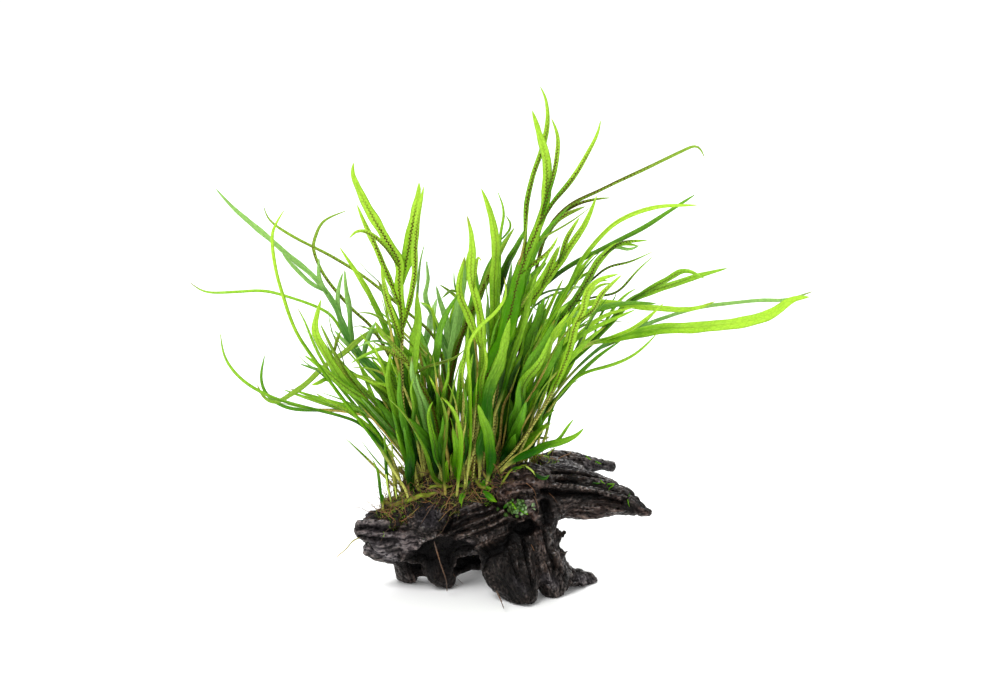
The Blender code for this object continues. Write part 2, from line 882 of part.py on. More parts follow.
class Blade:
    """One blade of a frond: its midrib, half widths and faces along equal steps."""

    def __init__(self, frond, points, seat, parent, tip_depth, width, turn):
        self.frond = frond
        self.parent = parent
        self.seat = seat
        self.turn = math.radians(turn)
        if parent is None:
            self.joint = 0
        else:
            from_fork = np.linalg.norm(parent.flat - np.array(points[0]), axis=1)
            self.joint = max(1, int(np.argmin(from_fork))) - 1
            points = [tuple(parent.flat[self.joint])] + points[1:]
        self.flat = smooth_path(points, SETTLE_STEP / PIXEL)
        self.share = np.linspace(0, 1, len(self.flat))
        self.length = SETTLE_STEP * (len(self.flat) - 1)
        self.half = self.half_widths(width / 2 * MM)
        start = seat.y if parent is None else parent.depth[self.joint]
        self.drawn = start + (tip_depth * MM - start) * self.share**1.2
        self.moved = np.zeros(len(self.share))
        self.depth = self.drawn

    def half_widths(self, broadest):
        """Half the blade's width along it: a slender stalk, a long body and a pointed tip."""
        share = self.share
        if self.parent is None:
            stalk = min(STIPE_HALF_WIDTH, broadest)
            start, full = BODY_RISES.get(self.frond, BODY_RISE)
        else:
            stalk = min(FORK_START * broadest, FORK_NECK * self.parent.half[self.joint])
            start, full = FORK_RISE
        rise = np.clip((share - start) / (full - start), 0, 1)
        body = stalk + (broadest - stalk) * (3 * rise**2 - 2 * rise**3)
        if self.parent is None and self.frond in WAISTS:
            begin, end, kept = WAISTS[self.frond]
            body = body * (1 - (1 - kept) * np.clip((share - begin) / (end - begin), 0, 1))
        point = np.clip((1 - share) / 0.3, 0, 1) ** 0.7
        return np.maximum(body * point, 0.12 * MM)

    def rib(self):
        """Half the thickness along the midrib."""
        return np.minimum(RIB_HALF_THICKNESS, 0.7 * self.half + 0.1 * MM)

    def reach(self):
        """How far the blade reaches in depth from its midrib."""
        return self.half * abs(math.sin(self.turn)) + self.rib()

    def midrib(self):
        return np.array([place(x, y, d) for (x, y), d in zip(self.flat, self.depth)])

    def stations(self, step):
        """(centre, half width vector, half thickness vector) about one step apart along the blade."""
        line = self.midrib()
        count = max(3, int(round(self.length / step)))
        along = np.linspace(0, len(line) - 1, count + 1)
        index = np.arange(len(line))
        centres = np.column_stack([np.interp(along, index, column) for column in line.T])
        halves = np.interp(along, index, self.half)
        ribs = np.interp(along, index, self.rib())
        frames = []
        for i, (centre, half, rib) in enumerate(zip(centres, halves, ribs)):
            run = Vector(centres[min(i + 1, count)] - centres[max(i - 1, 0)]).normalized()
            face = EYE - Vector(centre)
            side = run.cross(face).normalized()
            front = side.cross(run).normalized()
            across = side * math.cos(self.turn) + front * math.sin(self.turn)
            frames.append((Vector(centre), across * half, across.cross(run).normalized() * rib))
        return frames


def read_points(text):
    """Points (across, down) written as pairs."""
    return [tuple(float(number) for number in pair.split(",")) for pair in text.split()]


def grow_blades(seats):
    """Every frond's blades, before their depths are settled."""
    blades = []
    for name, frond in FRONDS.items():
        main_blade = None
        for tip_depth, width, turn, trace in frond["blades"]:
            points = read_points(trace)
            if main_blade is None:
                seat = seats[name]
                foot = traced(seat)
                points = [foot] + [point for point in points if point[1] < foot[1] - 6]
            blade = Blade(name, points, seats[name], main_blade, tip_depth, width, turn)
            main_blade = main_blade or blade
            blades.append(blade)
    return blades


def near_pairs(blades):
    """Sample pairs of different fronds that cross in the tracing, and which one is in front."""
    flat = np.vstack([blade.flat for blade in blades]) * PIXEL
    half = np.concatenate([blade.half * abs(math.cos(blade.turn)) for blade in blades])
    reach = np.concatenate([blade.reach() for blade in blades])
    depth = np.concatenate([blade.depth for blade in blades])
    owner = np.concatenate([np.full(len(blade.flat), i) for i, blade in enumerate(blades)])
    names = list(FRONDS)
    frond = np.array([names.index(blade.frond) for blade in blades])[owner]
    gap = np.hypot(flat[:, None, 0] - flat[None, :, 0], flat[:, None, 1] - flat[None, :, 1])
    close = gap < half[:, None] + half[None, :] + 0.75 * SETTLE_STEP
    first, second = np.nonzero(close & (frond[:, None] < frond[None, :]))
    key = owner[first] * len(blades) + owner[second]
    groups, where = np.unique(key, return_inverse=True)
    mean = np.bincount(where, depth[first] - depth[second]) / np.bincount(where)
    order = np.where(mean >= 0, 1.0, -1.0)[where]
    need = reach[first] + reach[second] + FROND_CLEARANCE
    return first, second, order, need


def settle_depths(blades):
    """Moves blades that cross apart in depth, smoothly, with their feet held."""
    first, second, order, need = near_pairs(blades)
    starts = np.cumsum([0] + [len(blade.flat) for blade in blades])
    for _ in range(SETTLE_ROUNDS):
        depth = np.concatenate([blade.depth for blade in blades])
        short = need - order * (depth[first] - depth[second])
        touching = short > 0
        push = np.zeros(len(depth))
        pull = np.zeros(len(depth))
        shift = 0.5 * short[touching]
        ahead = order[touching] > 0
        np.maximum.at(push, np.where(ahead, first[touching], second[touching]), shift)
        np.maximum.at(pull, np.where(ahead, second[touching], first[touching]), shift)
        move = 0.5 * (push - pull)
        for blade, start, end in zip(blades, starts, starts[1:]):
            step = move[start:end]
            for _ in range(3):
                step = np.convolve(np.pad(step, 1, mode="edge"), (0.25, 0.5, 0.25), mode="valid")
            blade.moved = blade.moved + step
            travelled = SETTLE_STEP * np.arange(len(step))
            if blade.parent is None:
                blade.depth = blade.drawn + blade.moved * np.clip(travelled / FOOT_HOLD, 0, 1)
            else:
                slip = blade.parent.depth[blade.joint] - blade.drawn[0] - blade.moved[0]
                blade.depth = blade.drawn + blade.moved + slip * np.exp(-travelled / FOOT_HOLD)


def blade_solid(blade):
    """A thin closed blade with an edge on each side and a rib on each face."""
    frames = blade.stations(CAD_STEP)
    rings = [[spot + wide, spot + thick, spot - wide, spot - thick] for spot, wide, thick in frames[:-1]]
    return loft(rings, tip=frames[-1][0])


def make_fronds(blades, parts, cutters):
    """Each frond is its main blade with its forks grown in."""
    for name in FRONDS:
        solids = []
        for blade in blades:
            if blade.frond == name:
                mesh = bpy.data.meshes.new(name)
                skin = blade_solid(blade)
                skin.to_mesh(mesh)
                skin.free()
                solids.append(mesh)
        frond = add_object(name, solids[0], parts, FROND_COLOUR, 0.4)
        for number, mesh in enumerate(solids[1:]):
            fork = bpy.data.objects.new(f"{name}_fork_{number}", mesh)
            fork.hide_render = True
            fork.display_type = "WIRE"
            cutters.objects.link(fork)
            union = frond.modifiers.new(f"fork_{number}", "BOOLEAN")
            union.operation = "UNION"
            union.object = fork


def surface_of(objects):
    """A search tree over several objects' evaluated meshes."""
    bm = bmesh.new()
    for obj in objects:
        bm.from_mesh(evaluated_mesh(obj))
    tree = BVHTree.FromBMesh(bm)
    bm.free()
    return tree


def stand_on(tree, across, depth, footprint, lift):
    """The point a lift above the highest surface under a small footprint, at a column and a depth in mm."""
    x = place(across, 500, depth * MM).x
    heights = []
    for dx, dy in ((0, 0), (1, 0), (-1, 0), (0, 1), (0, -1)):
        above = Vector((x + dx * footprint, depth * MM + dy * footprint, 0.2))
        spot = tree.ray_cast(above, Vector((0, 0, -1)))[0]
        if spot is not None:
            heights.append(spot.z)
    return Vector((x, depth * MM, max(heights) + lift))


def make_tube(name, points, radius, roundness, collection, colour):
    curve = bpy.data.curves.new(name, "CURVE")
    curve.dimensions = "3D"
    curve.bevel_depth = radius
    curve.bevel_resolution = roundness
    curve.use_fill_caps = True
    line = curve.splines.new("POLY")
    line.points.add(len(points) - 1)
    for place_of, point in zip(line.points, points):
        place_of.co = (*point, 1)
    tube = bpy.data.objects.new(name, curve)
    curve.materials.append(make_material(name, colour, 0.5))
    collection.objects.link(tube)
    return tube


def make_rhizomes(wood, parts):
    """Creeping stems that follow the wood's top with a small gap under them."""
    rhizomes = []
    for name, bends in RHIZOMES.items():
        line = smooth_path([(across * PIXEL, depth * MM) for across, depth in bends], 4 * MM)
        lift = RHIZOME_RADIUS + TOUCHING_GAP
        spots = [stand_on(wood, x / PIXEL, y / MM, RHIZOME_RADIUS, lift) for x, y in line]
        rhizomes.append(make_tube(name, spots, RHIZOME_RADIUS, 2, parts, RHIZOME_COLOUR))
    return rhizomes


def make_roots(parts):
    for name, bends in ROOTS.items():
        points = smooth_path([tuple(place(x, y, d * MM)) for x, y, d in bends], 4 * MM)
        make_tube(name, points, ROOT_RADIUS, 1, parts, ROOT_COLOUR)


def main():
    for obj in list(bpy.data.objects):
        bpy.data.objects.remove(obj, do_unlink=True)
    parts = bpy.data.collections.new("java_fern_on_driftwood")
    cutters = bpy.data.collections.new("cutters")
    bpy.context.scene.collection.children.link(parts)
    bpy.context.scene.collection.children.link(cutters)
    make_driftwood(parts, cutters)
    bpy.context.view_layer.update()
    wood = surface_of(parts.objects)
    make_rhizomes(wood, parts)
    make_roots(parts)
    bpy.context.view_layer.update()
    ground = surface_of(parts.objects)
    seats = {}
    for name, frond in FRONDS.items():
        seats[name] = stand_on(ground, *frond["seat"], FOOTPRINT, TOUCHING_GAP)
    blades = grow_blades(seats)
    settle_depths(blades)
    make_fronds(blades, parts, cutters)


main()
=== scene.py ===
# %% [markdown]
# # Java fern on driftwood
# A trident java fern is tied to a piece of dark bog wood and sold for aquariums. Its rhizomes creep along the
# top of the wood, its forked fronds fan out above them, and moss, roots and young leaves fill the gaps.
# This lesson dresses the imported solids: it grows fine leaves where the faceted ones stand, carves the wood's
# grain, and adds the small growth that has no solid. Units are metres and +Z is up.

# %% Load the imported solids
import json
import math
import random

import bmesh
import bpy
import numpy as np
from mathutils import Matrix, Vector, noise
from mathutils.bvhtree import BVHTree

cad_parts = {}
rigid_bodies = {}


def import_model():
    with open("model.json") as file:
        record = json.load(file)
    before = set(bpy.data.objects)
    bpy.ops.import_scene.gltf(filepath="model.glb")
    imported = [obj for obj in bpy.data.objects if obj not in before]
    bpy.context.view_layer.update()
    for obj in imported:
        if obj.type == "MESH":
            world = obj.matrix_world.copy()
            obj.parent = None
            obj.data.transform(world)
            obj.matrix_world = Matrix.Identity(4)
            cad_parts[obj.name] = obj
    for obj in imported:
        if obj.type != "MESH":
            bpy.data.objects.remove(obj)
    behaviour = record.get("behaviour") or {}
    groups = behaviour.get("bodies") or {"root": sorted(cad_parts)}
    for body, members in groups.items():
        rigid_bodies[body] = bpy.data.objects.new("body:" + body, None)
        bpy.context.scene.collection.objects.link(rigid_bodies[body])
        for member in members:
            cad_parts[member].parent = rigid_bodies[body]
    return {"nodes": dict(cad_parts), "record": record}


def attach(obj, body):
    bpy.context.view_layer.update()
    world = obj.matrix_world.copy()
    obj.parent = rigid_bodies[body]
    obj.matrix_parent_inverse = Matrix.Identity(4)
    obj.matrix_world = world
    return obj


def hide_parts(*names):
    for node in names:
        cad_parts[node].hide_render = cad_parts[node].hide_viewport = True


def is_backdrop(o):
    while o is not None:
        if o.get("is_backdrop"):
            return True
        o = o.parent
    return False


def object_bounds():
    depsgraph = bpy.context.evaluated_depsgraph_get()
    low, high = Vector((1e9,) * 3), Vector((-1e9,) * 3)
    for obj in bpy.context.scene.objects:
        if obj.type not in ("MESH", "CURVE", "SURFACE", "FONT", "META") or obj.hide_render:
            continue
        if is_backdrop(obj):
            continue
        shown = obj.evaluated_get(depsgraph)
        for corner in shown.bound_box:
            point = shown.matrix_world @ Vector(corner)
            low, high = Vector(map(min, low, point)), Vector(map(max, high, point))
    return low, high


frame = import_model()
cad_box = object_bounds()
MM = 0.001
print("solids:", len(frame["nodes"]), "box mm:", [[round(c / MM) for c in corner] for corner in cad_box])

# %% [markdown]
# ## The view
# The solids were traced in one view: 1.2 m away and 12 degrees above the horizon, in a frame of 1000 by 700.
# The camera stands at that eye, so what was traced at a point of the frame shows there again. The same three
# functions turn a traced point and a depth into a place, as the solids' source does.

# %% The tracing view and the camera
TRACE_FRAME = (1000, 700)
OVERALL_WIDTH = 262 * MM
TRACED_WIDTH = 624
PIXEL = OVERALL_WIDTH / TRACED_WIDTH
VIEW_DISTANCE = 1.2
VIEW_ELEVATION = math.radians(12)
FRONT_FOOT = (520, 603)
FOCAL_PIXELS = VIEW_DISTANCE / PIXEL
RIGHT = Vector((1, 0, 0))
UP = Vector((0, math.sin(VIEW_ELEVATION), math.cos(VIEW_ELEVATION)))
FORWARD = Vector((0, math.cos(VIEW_ELEVATION), -math.sin(VIEW_ELEVATION)))


def ray_through(across, down):
    """The direction from the eye through a point of the tracing, one metre deep."""
    right = (across - TRACE_FRAME[0] / 2) / FOCAL_PIXELS
    up = (TRACE_FRAME[1] / 2 - down) / FOCAL_PIXELS
    return FORWARD + RIGHT * right + UP * up


EYE = -VIEW_DISTANCE * ray_through(*FRONT_FOOT)


def place(across, down, depth):
    """The point in space that the tracing shows at (across, down), this far behind the front foot."""
    ray = ray_through(across, down)
    return EYE + ray * ((depth - EYE.y) / ray.y)


def traced(point):
    """Where the tracing shows a point in space."""
    offset = point - EYE
    scale = FOCAL_PIXELS / offset.dot(FORWARD)
    across = TRACE_FRAME[0] / 2 + offset.dot(RIGHT) * scale
    return across, TRACE_FRAME[1] / 2 - offset.dot(UP) * scale


def add_object(name, data):
    """A new object in the scene."""
    made = bpy.data.objects.new(name, data)
    bpy.context.scene.collection.objects.link(made)
    return made


lens = bpy.data.cameras.new("camera")
lens.sensor_width = 36
lens.lens = lens.sensor_width * FOCAL_PIXELS / TRACE_FRAME[0]
camera = add_object("camera", lens)
camera.location = EYE
camera.rotation_euler = (math.pi / 2 - VIEW_ELEVATION, 0, 0)
bpy.context.scene.camera = camera
print("camera at", [round(c, 3) for c in EYE], "lens", round(lens.lens, 1), "mm")

# %% [markdown]
# ## Floor and light
# The plant is shown high and bright, as in a studio: a pale floor, a large lamp above and in front on the
# left, and an even white surround that also lights the leaves from behind, which makes thin leaves glow.

# %% Floor, lamps and surround
FLOOR_REACH = 9.0
FLOOR_DROP = 0.0004
SURROUND_STRENGTH = 0.72
# Square soft lamps: where each stands, the point it shines at, its size in metres and its power in watts
LAMPS = {
    "key_lamp": ((-0.7, -0.9, 1.3), (0, 0, 0.1), 0.9, 24),
    "front_lamp": ((0.25, -1.2, 0.35), (0, 0, 0.06), 0.6, 4),
    "back_lamp": ((0.5, 1.0, 1.1), (0, 0, 0.12), 0.8, 10),
    "floor_lamp": ((0, 1.9, 2.0), (0, 1.9, 0), 2.4, 34),
}


def mesh_object(name, bm):
    """A new object in the scene with the mesh that a bmesh holds."""
    mesh = bpy.data.meshes.new(name)
    bm.to_mesh(mesh)
    bm.free()
    return add_object(name, mesh)


bm = bmesh.new()
bmesh.ops.create_grid(bm, x_segments=2, y_segments=2, size=FLOOR_REACH)
floor = mesh_object("floor", bm)
floor.location = (0, FLOOR_REACH / 2, -FLOOR_DROP)
floor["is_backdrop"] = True
for name, (spot, aim, size, power) in LAMPS.items():
    light = bpy.data.lights.new(name, "AREA")
    light.size = size
    light.energy = power
    lamp = add_object(name, light)
    lamp.location = spot
    lamp.rotation_euler = (Vector(aim) - Vector(spot)).to_track_quat("-Z", "Y").to_euler()
world = bpy.data.worlds.new("surround")
world.use_nodes = True
background = world.node_tree.nodes["Background"]
background.inputs["Color"].default_value = (1, 1, 1, 1)
background.inputs["Strength"].default_value = SURROUND_STRENGTH
bpy.context.scene.world = world
bpy.context.scene.view_settings.view_transform = "Standard"
print("lamps:", list(LAMPS))

# %% [markdown]
# ## Shader sums in Python
# Colours and bumps come from small sums, such as one minus a mask. A wire holds one socket, and writing
# sums with wires adds the Math nodes. Every other node comes from one method.

# %% A wire for shader sums
class Wire:
    """One output of a material's nodes."""

    def __init__(self, tree, socket=None):
        self.tree = tree
        self.socket = socket

    def fill(self, node, inputs):
        """Gives each named input of a node its wire or its value."""
        for name, value in inputs.items():
            if isinstance(value, Wire):
                self.tree.links.new(value.socket, node.inputs[name])
            else:
                node.inputs[name].default_value = value

    def node(self, kind, settings, inputs, output=0):
        """A new node: its settings first, then the values or wires of its inputs."""
        made = self.tree.nodes.new(kind)
        for name, value in settings.items():
            setattr(made, name, value)
        self.fill(made, inputs)
        return Wire(self.tree, made.outputs[output])

    def math(self, operation, *values):
        """A sum of wires and numbers."""
        return self.node("ShaderNodeMath", {"operation": operation}, dict(enumerate(values)))

    def __add__(self, other):
        return self.math("ADD", self, other)

    def __sub__(self, other):
        return self.math("SUBTRACT", self, other)

    def __rsub__(self, other):
        return self.math("SUBTRACT", other, self)

    def __mul__(self, other):
        return self.math("MULTIPLY", self, other)

    __radd__ = __add__
    __rmul__ = __mul__

    def __abs__(self):
        return self.math("ABSOLUTE", self)

    def ramp(self, low, high, least=0.0, most=1.0):
        """A smooth step from least to most as this wire goes from low to high."""
        settings = {"interpolation_type": "SMOOTHSTEP"}
        inputs = {0: self, 1: low, 2: high, 3: least, 4: most}
        return self.node("ShaderNodeMapRange", settings, inputs)

    def colours(self, *stops):
        """This wire as a colour, through stops: each a place from 0 to 1 and its red, green and blue."""
        wire = self.node("ShaderNodeValToRGB", {}, {0: self})
        elements = wire.socket.node.color_ramp.elements
        elements[0].position = stops[0][0]
        elements[1].position = stops[-1][0]
        for spot, *_ in stops[1:-1]:
            elements.new(spot)
        for element, (_, *colour) in zip(elements, stops):
            element.color = paint(*colour)
        return wire

    def blend(self, first, second, how="MIX"):
        """first where this wire is 0, second where it is 1."""
        settings = {"data_type": "RGBA", "blend_type": how}
        return self.node("ShaderNodeMix", settings, {0: self, 6: first, 7: second}, 2)

    def bump(self, strength, distance):
        """The normals of a surface that stands up by this wire."""
        return self.node("ShaderNodeBump", {}, {"Strength": strength, "Distance": distance, "Height": self})

    def objects(self):
        """The place in the object's own coordinates."""
        return self.node("ShaderNodeTexCoord", {}, {}, "Object")

    def attribute(self, name, output="Fac"):
        """A value that the mesh keeps for each of its points."""
        return self.node("ShaderNodeAttribute", {"attribute_name": name}, {}, output)

    def speckle(self, where, scale, detail=2.0, roughness=0.5):
        """Noise from 0 to 1."""
        inputs = {"Vector": where, "Scale": scale, "Detail": detail, "Roughness": roughness}
        return self.node("ShaderNodeTexNoise", {}, inputs)


def paint(red, green, blue):
    """A colour written as a screen shows it, 0 to 255, in the linear values that shaders use."""
    shares = [channel / 255 for channel in (red, green, blue)]
    return (*[share / 12.92 if share < 0.04 else ((share + 0.055) / 1.055) ** 2.4 for share in shares], 1.0)


def new_material(name):
    """A material, a wire to start from and its Principled node."""
    material = bpy.data.materials.new(name)
    material.use_nodes = True
    return material, Wire(material.node_tree), material.node_tree.nodes["Principled BSDF"]


material, start, surface = new_material("pale_floor")
tone = start.speckle(start.objects(), 1.5).ramp(0.3, 0.7)
start.fill(surface, {"Base Color": tone.blend(paint(247, 247, 246), paint(250, 250, 250)), "Roughness": 0.7})
floor.data.materials.append(material)
print("floor material:", material.name)

# %% [markdown]
# ## Small helpers
# Traced lines are written as text, a row for each, and read back as points. A smooth path through such points
# serves limbs, midribs and roots. A finished piece is one mesh at the origin that rides with the solids and
# stands for the nodes that it replaces.

# %% Lines, paths and pieces
CURVE_STEPS = 16


def read_points(text):
    """Points (across, down) written as pairs."""
    return [tuple(float(number) for number in pair.split(",")) for pair in text.split()]


def read_rows(text):
    """Rows of words and numbers, each with the points of a traced line behind its colon."""
    for row in text.strip().splitlines():
        first, line = row.split(": ")
        yield *(word if word[0].isalpha() else float(word) for word in first.split()), read_points(line)


def smooth_path(points, step):
    """Points about one step apart along a Catmull-Rom curve through the given ones."""
    knots = np.array(points, float)
    ends = np.vstack([2 * knots[0] - knots[1], knots, 2 * knots[-1] - knots[-2]])
    dense = []
    for before, begin, end, after in zip(ends, ends[1:], ends[2:], ends[3:]):
        run = end - before
        bend = 2 * before - 5 * begin + 4 * end - after
        twist = 3 * begin - before - 3 * end + after
        for t in np.linspace(0, 1, CURVE_STEPS, endpoint=False):
            dense.append(0.5 * (2 * begin + run * t + bend * t**2 + twist * t**3))
    dense.append(knots[-1])
    dense = np.array(dense)
    travelled = np.concatenate([[0], np.cumsum(np.linalg.norm(np.diff(dense, axis=0), axis=1))])
    count = max(3, int(round(travelled[-1] / step)) + 1)
    wanted = np.linspace(0, travelled[-1], count)
    return np.column_stack([np.interp(wanted, travelled, column) for column in dense.T])


def add_piece(name, bm, material, slot, stands_for=()):
    """A named piece from a bmesh, its faces turned outwards, which rides with the solids."""
    bmesh.ops.recalc_face_normals(bm, faces=bm.faces)
    piece = mesh_object(name, bm)
    if material:
        piece.data.materials.append(material)
    piece.data.shade_smooth()
    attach(piece, "root")
    if stands_for:
        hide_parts(*stands_for)
    return piece


def joined(names):
    """One bmesh of several solids."""
    bm = bmesh.new()
    for name in names:
        bm.from_mesh(frame["nodes"][name].data)
    return bm


WOOD_NODES = [name for name in frame["nodes"] if name.startswith("driftwood")]
STEM_NODES = [name for name in frame["nodes"] if name.startswith(("rhizome", "root"))]
print("wood:", len(WOOD_NODES), "stems:", len(STEM_NODES))

# %% [markdown]
# ## The driftwood's skin
# The real piece is one grown root, worn by water. The solids part it at its forks with thin saw cuts, so the
# cuts are closed first: each piece swells a little, one fine skin is drawn over all of them, and the skin
# sinks back by the same amount. Smoothing then rounds the facets away.

# %% One fine skin over the wood
CUT_FILL = 0.22 * MM
SKIN_CELL = 0.62 * MM
ROUNDING = 8
ROUNDING_FACTOR = 0.5
SAME_POINT = 0.001 * MM

# Thick places that the solids leave out: (across, down) in the tracing, depth, and half sizes in mm
FILLINGS = [
    (440, 555, 34, 18, 6, 5.5),
    (411, 562, 36, 7, 6, 6),
    (474, 560, 34, 8, 6, 4.5),
    (498, 552, 26, 7, 8, 6),
]


def read_vectors(items, name):
    """A vector of each item, as rows of x, y and z."""
    values = np.empty(len(items) * 3)
    items.foreach_get(name, values)
    return values.reshape(-1, 3)


bm = joined(WOOD_NODES)
bmesh.ops.remove_doubles(bm, verts=bm.verts, dist=SAME_POINT)
bm.normal_update()
for vert in bm.verts:
    vert.co += vert.normal * CUT_FILL
for across, down, depth, wide, deep, high in FILLINGS:
    middle = Matrix.Translation(place(across, down, depth * MM))
    shape = middle @ Matrix.Diagonal((wide * MM, deep * MM, high * MM, 1))
    bmesh.ops.create_icosphere(bm, subdivisions=3, radius=1, matrix=shape)
driftwood = add_piece("driftwood", bm, None, "driftwood", WOOD_NODES)
skin = driftwood.modifiers.new("one_skin", "REMESH")
skin.mode = "VOXEL"
skin.voxel_size = SKIN_CELL
worn = driftwood.modifiers.new("worn", "SMOOTH")
worn.factor = ROUNDING_FACTOR
worn.iterations = ROUNDING
fine = bpy.data.meshes.new_from_object(driftwood.evaluated_get(bpy.context.evaluated_depsgraph_get()))
driftwood.modifiers.clear()
driftwood.data = fine
spots = read_vectors(fine.vertices, "co")
normals = read_vectors(fine.vertex_normals, "vector")
spots -= normals * CUT_FILL
print("driftwood skin:", len(fine.vertices), "points")

# %% [markdown]
# ## Which way the grain runs
# Wood fibres run along each limb. So each point of the skin is given a place in the grain: how far along its
# nearest limb it lies and where it sits around that limb's middle line. Noise that is stretched along that
# direction makes ridges and cracks which follow the limbs, as weathering leaves them.

# %% Grain lines and the skin's place in them
# Each limb's middle line: (across, down) in the tracing, depth and half width in mm
GRAIN_LINES = {
    "log": [
        (340, 538, 26, 10), (386, 532, 26, 11), (455, 522, 26, 15), (525, 501, 28, 16), (575, 484, 30, 13),
    ],
    "back": [
        (392, 525, 38, 8), (430, 516, 44, 10), (480, 503, 50, 11), (520, 491, 50, 10), (556, 482, 46, 8),
    ],
    "left_foot": [(402, 544, 24, 8), (407, 565, 30, 6), (410, 577, 38, 5), (411, 596, 44, 4)],
    "middle_foot": [(436, 546, 22, 9), (439, 571, 23, 7), (448, 583, 25, 4), (452, 602, 26, 3)],
    "front_foot": [(503, 500, 24, 14), (509, 548, 15, 12), (512, 572, 8, 11), (525, 610, 0, 6)],
    "right_foot": [(544, 496, 24, 11), (541, 528, 20, 8), (546, 560, 17, 8), (557, 606, 13, 4)],
    "knob": [(548, 570, 16, 7), (572, 577, 25, 5), (596, 584, 36, 3)],
    "antler": [(546, 556, 19, 4), (556, 542, 20, 2), (562, 528, 20, 1.3)],
    "horn": [(530, 487, 28, 14), (572, 491, 26, 12), (619, 500, 19, 7), (655, 515, 16, 1.6)],
    "prong": [(535, 476, 38, 9), (562, 464, 44, 6), (616, 467, 48, 2)],
    "shoulder": [(488, 494, 19, 5), (514, 482, 16, 7), (548, 486, 16, 5)],
    "keel": [(400, 552, 34, 7), (430, 560, 33, 7), (474, 556, 36, 6)],
    "rear_foot": [(476, 505, 46, 10), (482, 535, 54, 8), (490, 584, 64, 5)],
    "boss": [(430, 520, 24, 9), (426, 514, 6, 6.5)],
}
GRAIN_STEP = 2.5 * MM
NEAREST_LIMBS = 2
LIMB_BLEND = 6
# A limb whose sideways axis is shorter than this runs in depth
DEPTHWAYS = 0.4


def grain_places(points, line):
    """Each point's (sideways, upwards, along) in a limb's own axes, and how many half widths off it lies."""
    stations = [(*place(x, y, depth * MM), half * MM) for x, y, depth, half in line]
    path = smooth_path(stations, GRAIN_STEP)
    offsets = points[:, None, :] - path[None, :, :3]
    apart = np.linalg.norm(offsets, axis=2) / path[None, :, 3]
    nearest = apart.argmin(axis=1)
    run = np.gradient(path[:, :3], axis=0)
    run /= np.linalg.norm(run, axis=1)[:, None]
    side = np.cross(run, (0.0, 1.0, 0.0))
    side[np.linalg.norm(side, axis=1) < DEPTHWAYS] = (1.0, 0.0, 0.0)
    side /= np.linalg.norm(side, axis=1)[:, None]
    up = np.cross(side, run)
    offset = offsets[np.arange(len(points)), nearest]
    along = nearest * GRAIN_STEP + (offset * run[nearest]).sum(1)
    local = np.column_stack([(offset * side[nearest]).sum(1), (offset * up[nearest]).sum(1), along])
    return local, apart.min(axis=1)


places, distances = map(np.array, zip(*(grain_places(spots, line) for line in GRAIN_LINES.values())))
order = distances.argsort(axis=0)[:NEAREST_LIMBS]
gap = np.take_along_axis(distances, order, axis=0)
weights = np.exp(-LIMB_BLEND * (gap - gap[0]))
weights /= weights.sum(axis=0)
grain = np.take_along_axis(places, order[0][None, :, None], axis=0)[0]
print("limbs of grain:", len(GRAIN_LINES))

# %% [markdown]
# ## Ridges, cracks and pits
# Three sizes of relief lie on the skin: broad flutes, the long ridges between them, and fine fibres. Each is
# noise stretched along the grain. Where the absolute value of the noise is taken, its zero lines become
# sharp cracks. The feet stay on the floor, so nothing sinks below it.

# %% Relief along the grain
# Each size: how fine it is in mm, across and along the grain or all round, then its depth and its share of
# the tone, the colour that follows the relief, dark in the cracks as painted shade
FLUTES = dict(fineness=(7.5, 60), depth=1.84 * MM, tone=0.4)
RIDGES = dict(fineness=(2.7, 30), depth=0.425 * MM, tone=0.45)
FIBRES = dict(fineness=(1.15, 13), depth=0.17 * MM, tone=0.3)
LUMPS = dict(fineness=3.2, depth=0.45 * MM, tone=0.35)
PITS = dict(fineness=2.6, depth=0.6 * MM)
PATCH_FINENESS = 16
# How ridged and how lumpy each limb is, and all the others
LIMB_LOOK = {
    "boss": (0.2, 0.35),
    "front_foot": (0.55, 0.2),
    "middle_foot": (0.6, 0.5),
    "right_foot": (0.6, 0.4),
    "knob": (0.3, 1.1),
    "antler": (0.3, 1.0),
    "prong": (0.9, 0.8),
    "shoulder": (0.5, 0.9),
    "keel": (0.7, 0.6),
}
OTHER_LIMBS = (1.0, 0.35)


def noises(points):
    """Noise from -1 to 1 at each point."""
    return np.array([noise.noise(point) for point in points.tolist()])


def stretched_noise(local, fineness, shift):
    """Noise from -1 to 1 in the grain's axes: fine across it and long along it, both in mm."""
    wide, long = fineness
    return noises(local / MM / (wide, wide, long) + shift)


def crack(values):
    """Rounded ridges with sharp cracks between them, from noise."""
    return 1 - 2 * (1 - np.clip(2.2 * np.abs(values), 0, 1)) ** 2


relief = np.zeros(len(spots))
# ridge is the relief tone that colours the wood: low in the cracks, where the dark colour is painted shade,
# and high on the ridges, where the grey is partly the worn wood's own and partly painted light
ridge = np.zeros(len(spots))
lumps = crack(noises(spots / MM / LUMPS["fineness"]))
# Each limb and each size takes its noise from a place of its own
for limb, share in zip(order, weights):
    local = np.take_along_axis(places, limb[None, :, None], axis=0)[0]
    shift = limb[:, None] * 3.7
    flutes = stretched_noise(local, FLUTES["fineness"], shift)
    ridges = crack(stretched_noise(local, RIDGES["fineness"], shift + 11))
    fibres = crack(stretched_noise(local, FIBRES["fineness"], shift + 23))
    ridged, rough = np.array([LIMB_LOOK.get(name, OTHER_LIMBS) for name in GRAIN_LINES])[limb].T
    relief += share * ridged * (FLUTES["depth"] * flutes + RIDGES["depth"] * ridges)
    relief += share * (FIBRES["depth"] * fibres + LUMPS["depth"] * rough * lumps)
    ridge += share * (
        RIDGES["tone"] * ridged * ridges + FIBRES["tone"] * fibres + FLUTES["tone"] * flutes
        + LUMPS["tone"] * rough * lumps
    )
pits = noises(spots / MM / PITS["fineness"])
patches = noises(spots / MM / PATCH_FINENESS + 5)
patches[distances.argmin(axis=0) == list(GRAIN_LINES).index("boss")] = 0.3
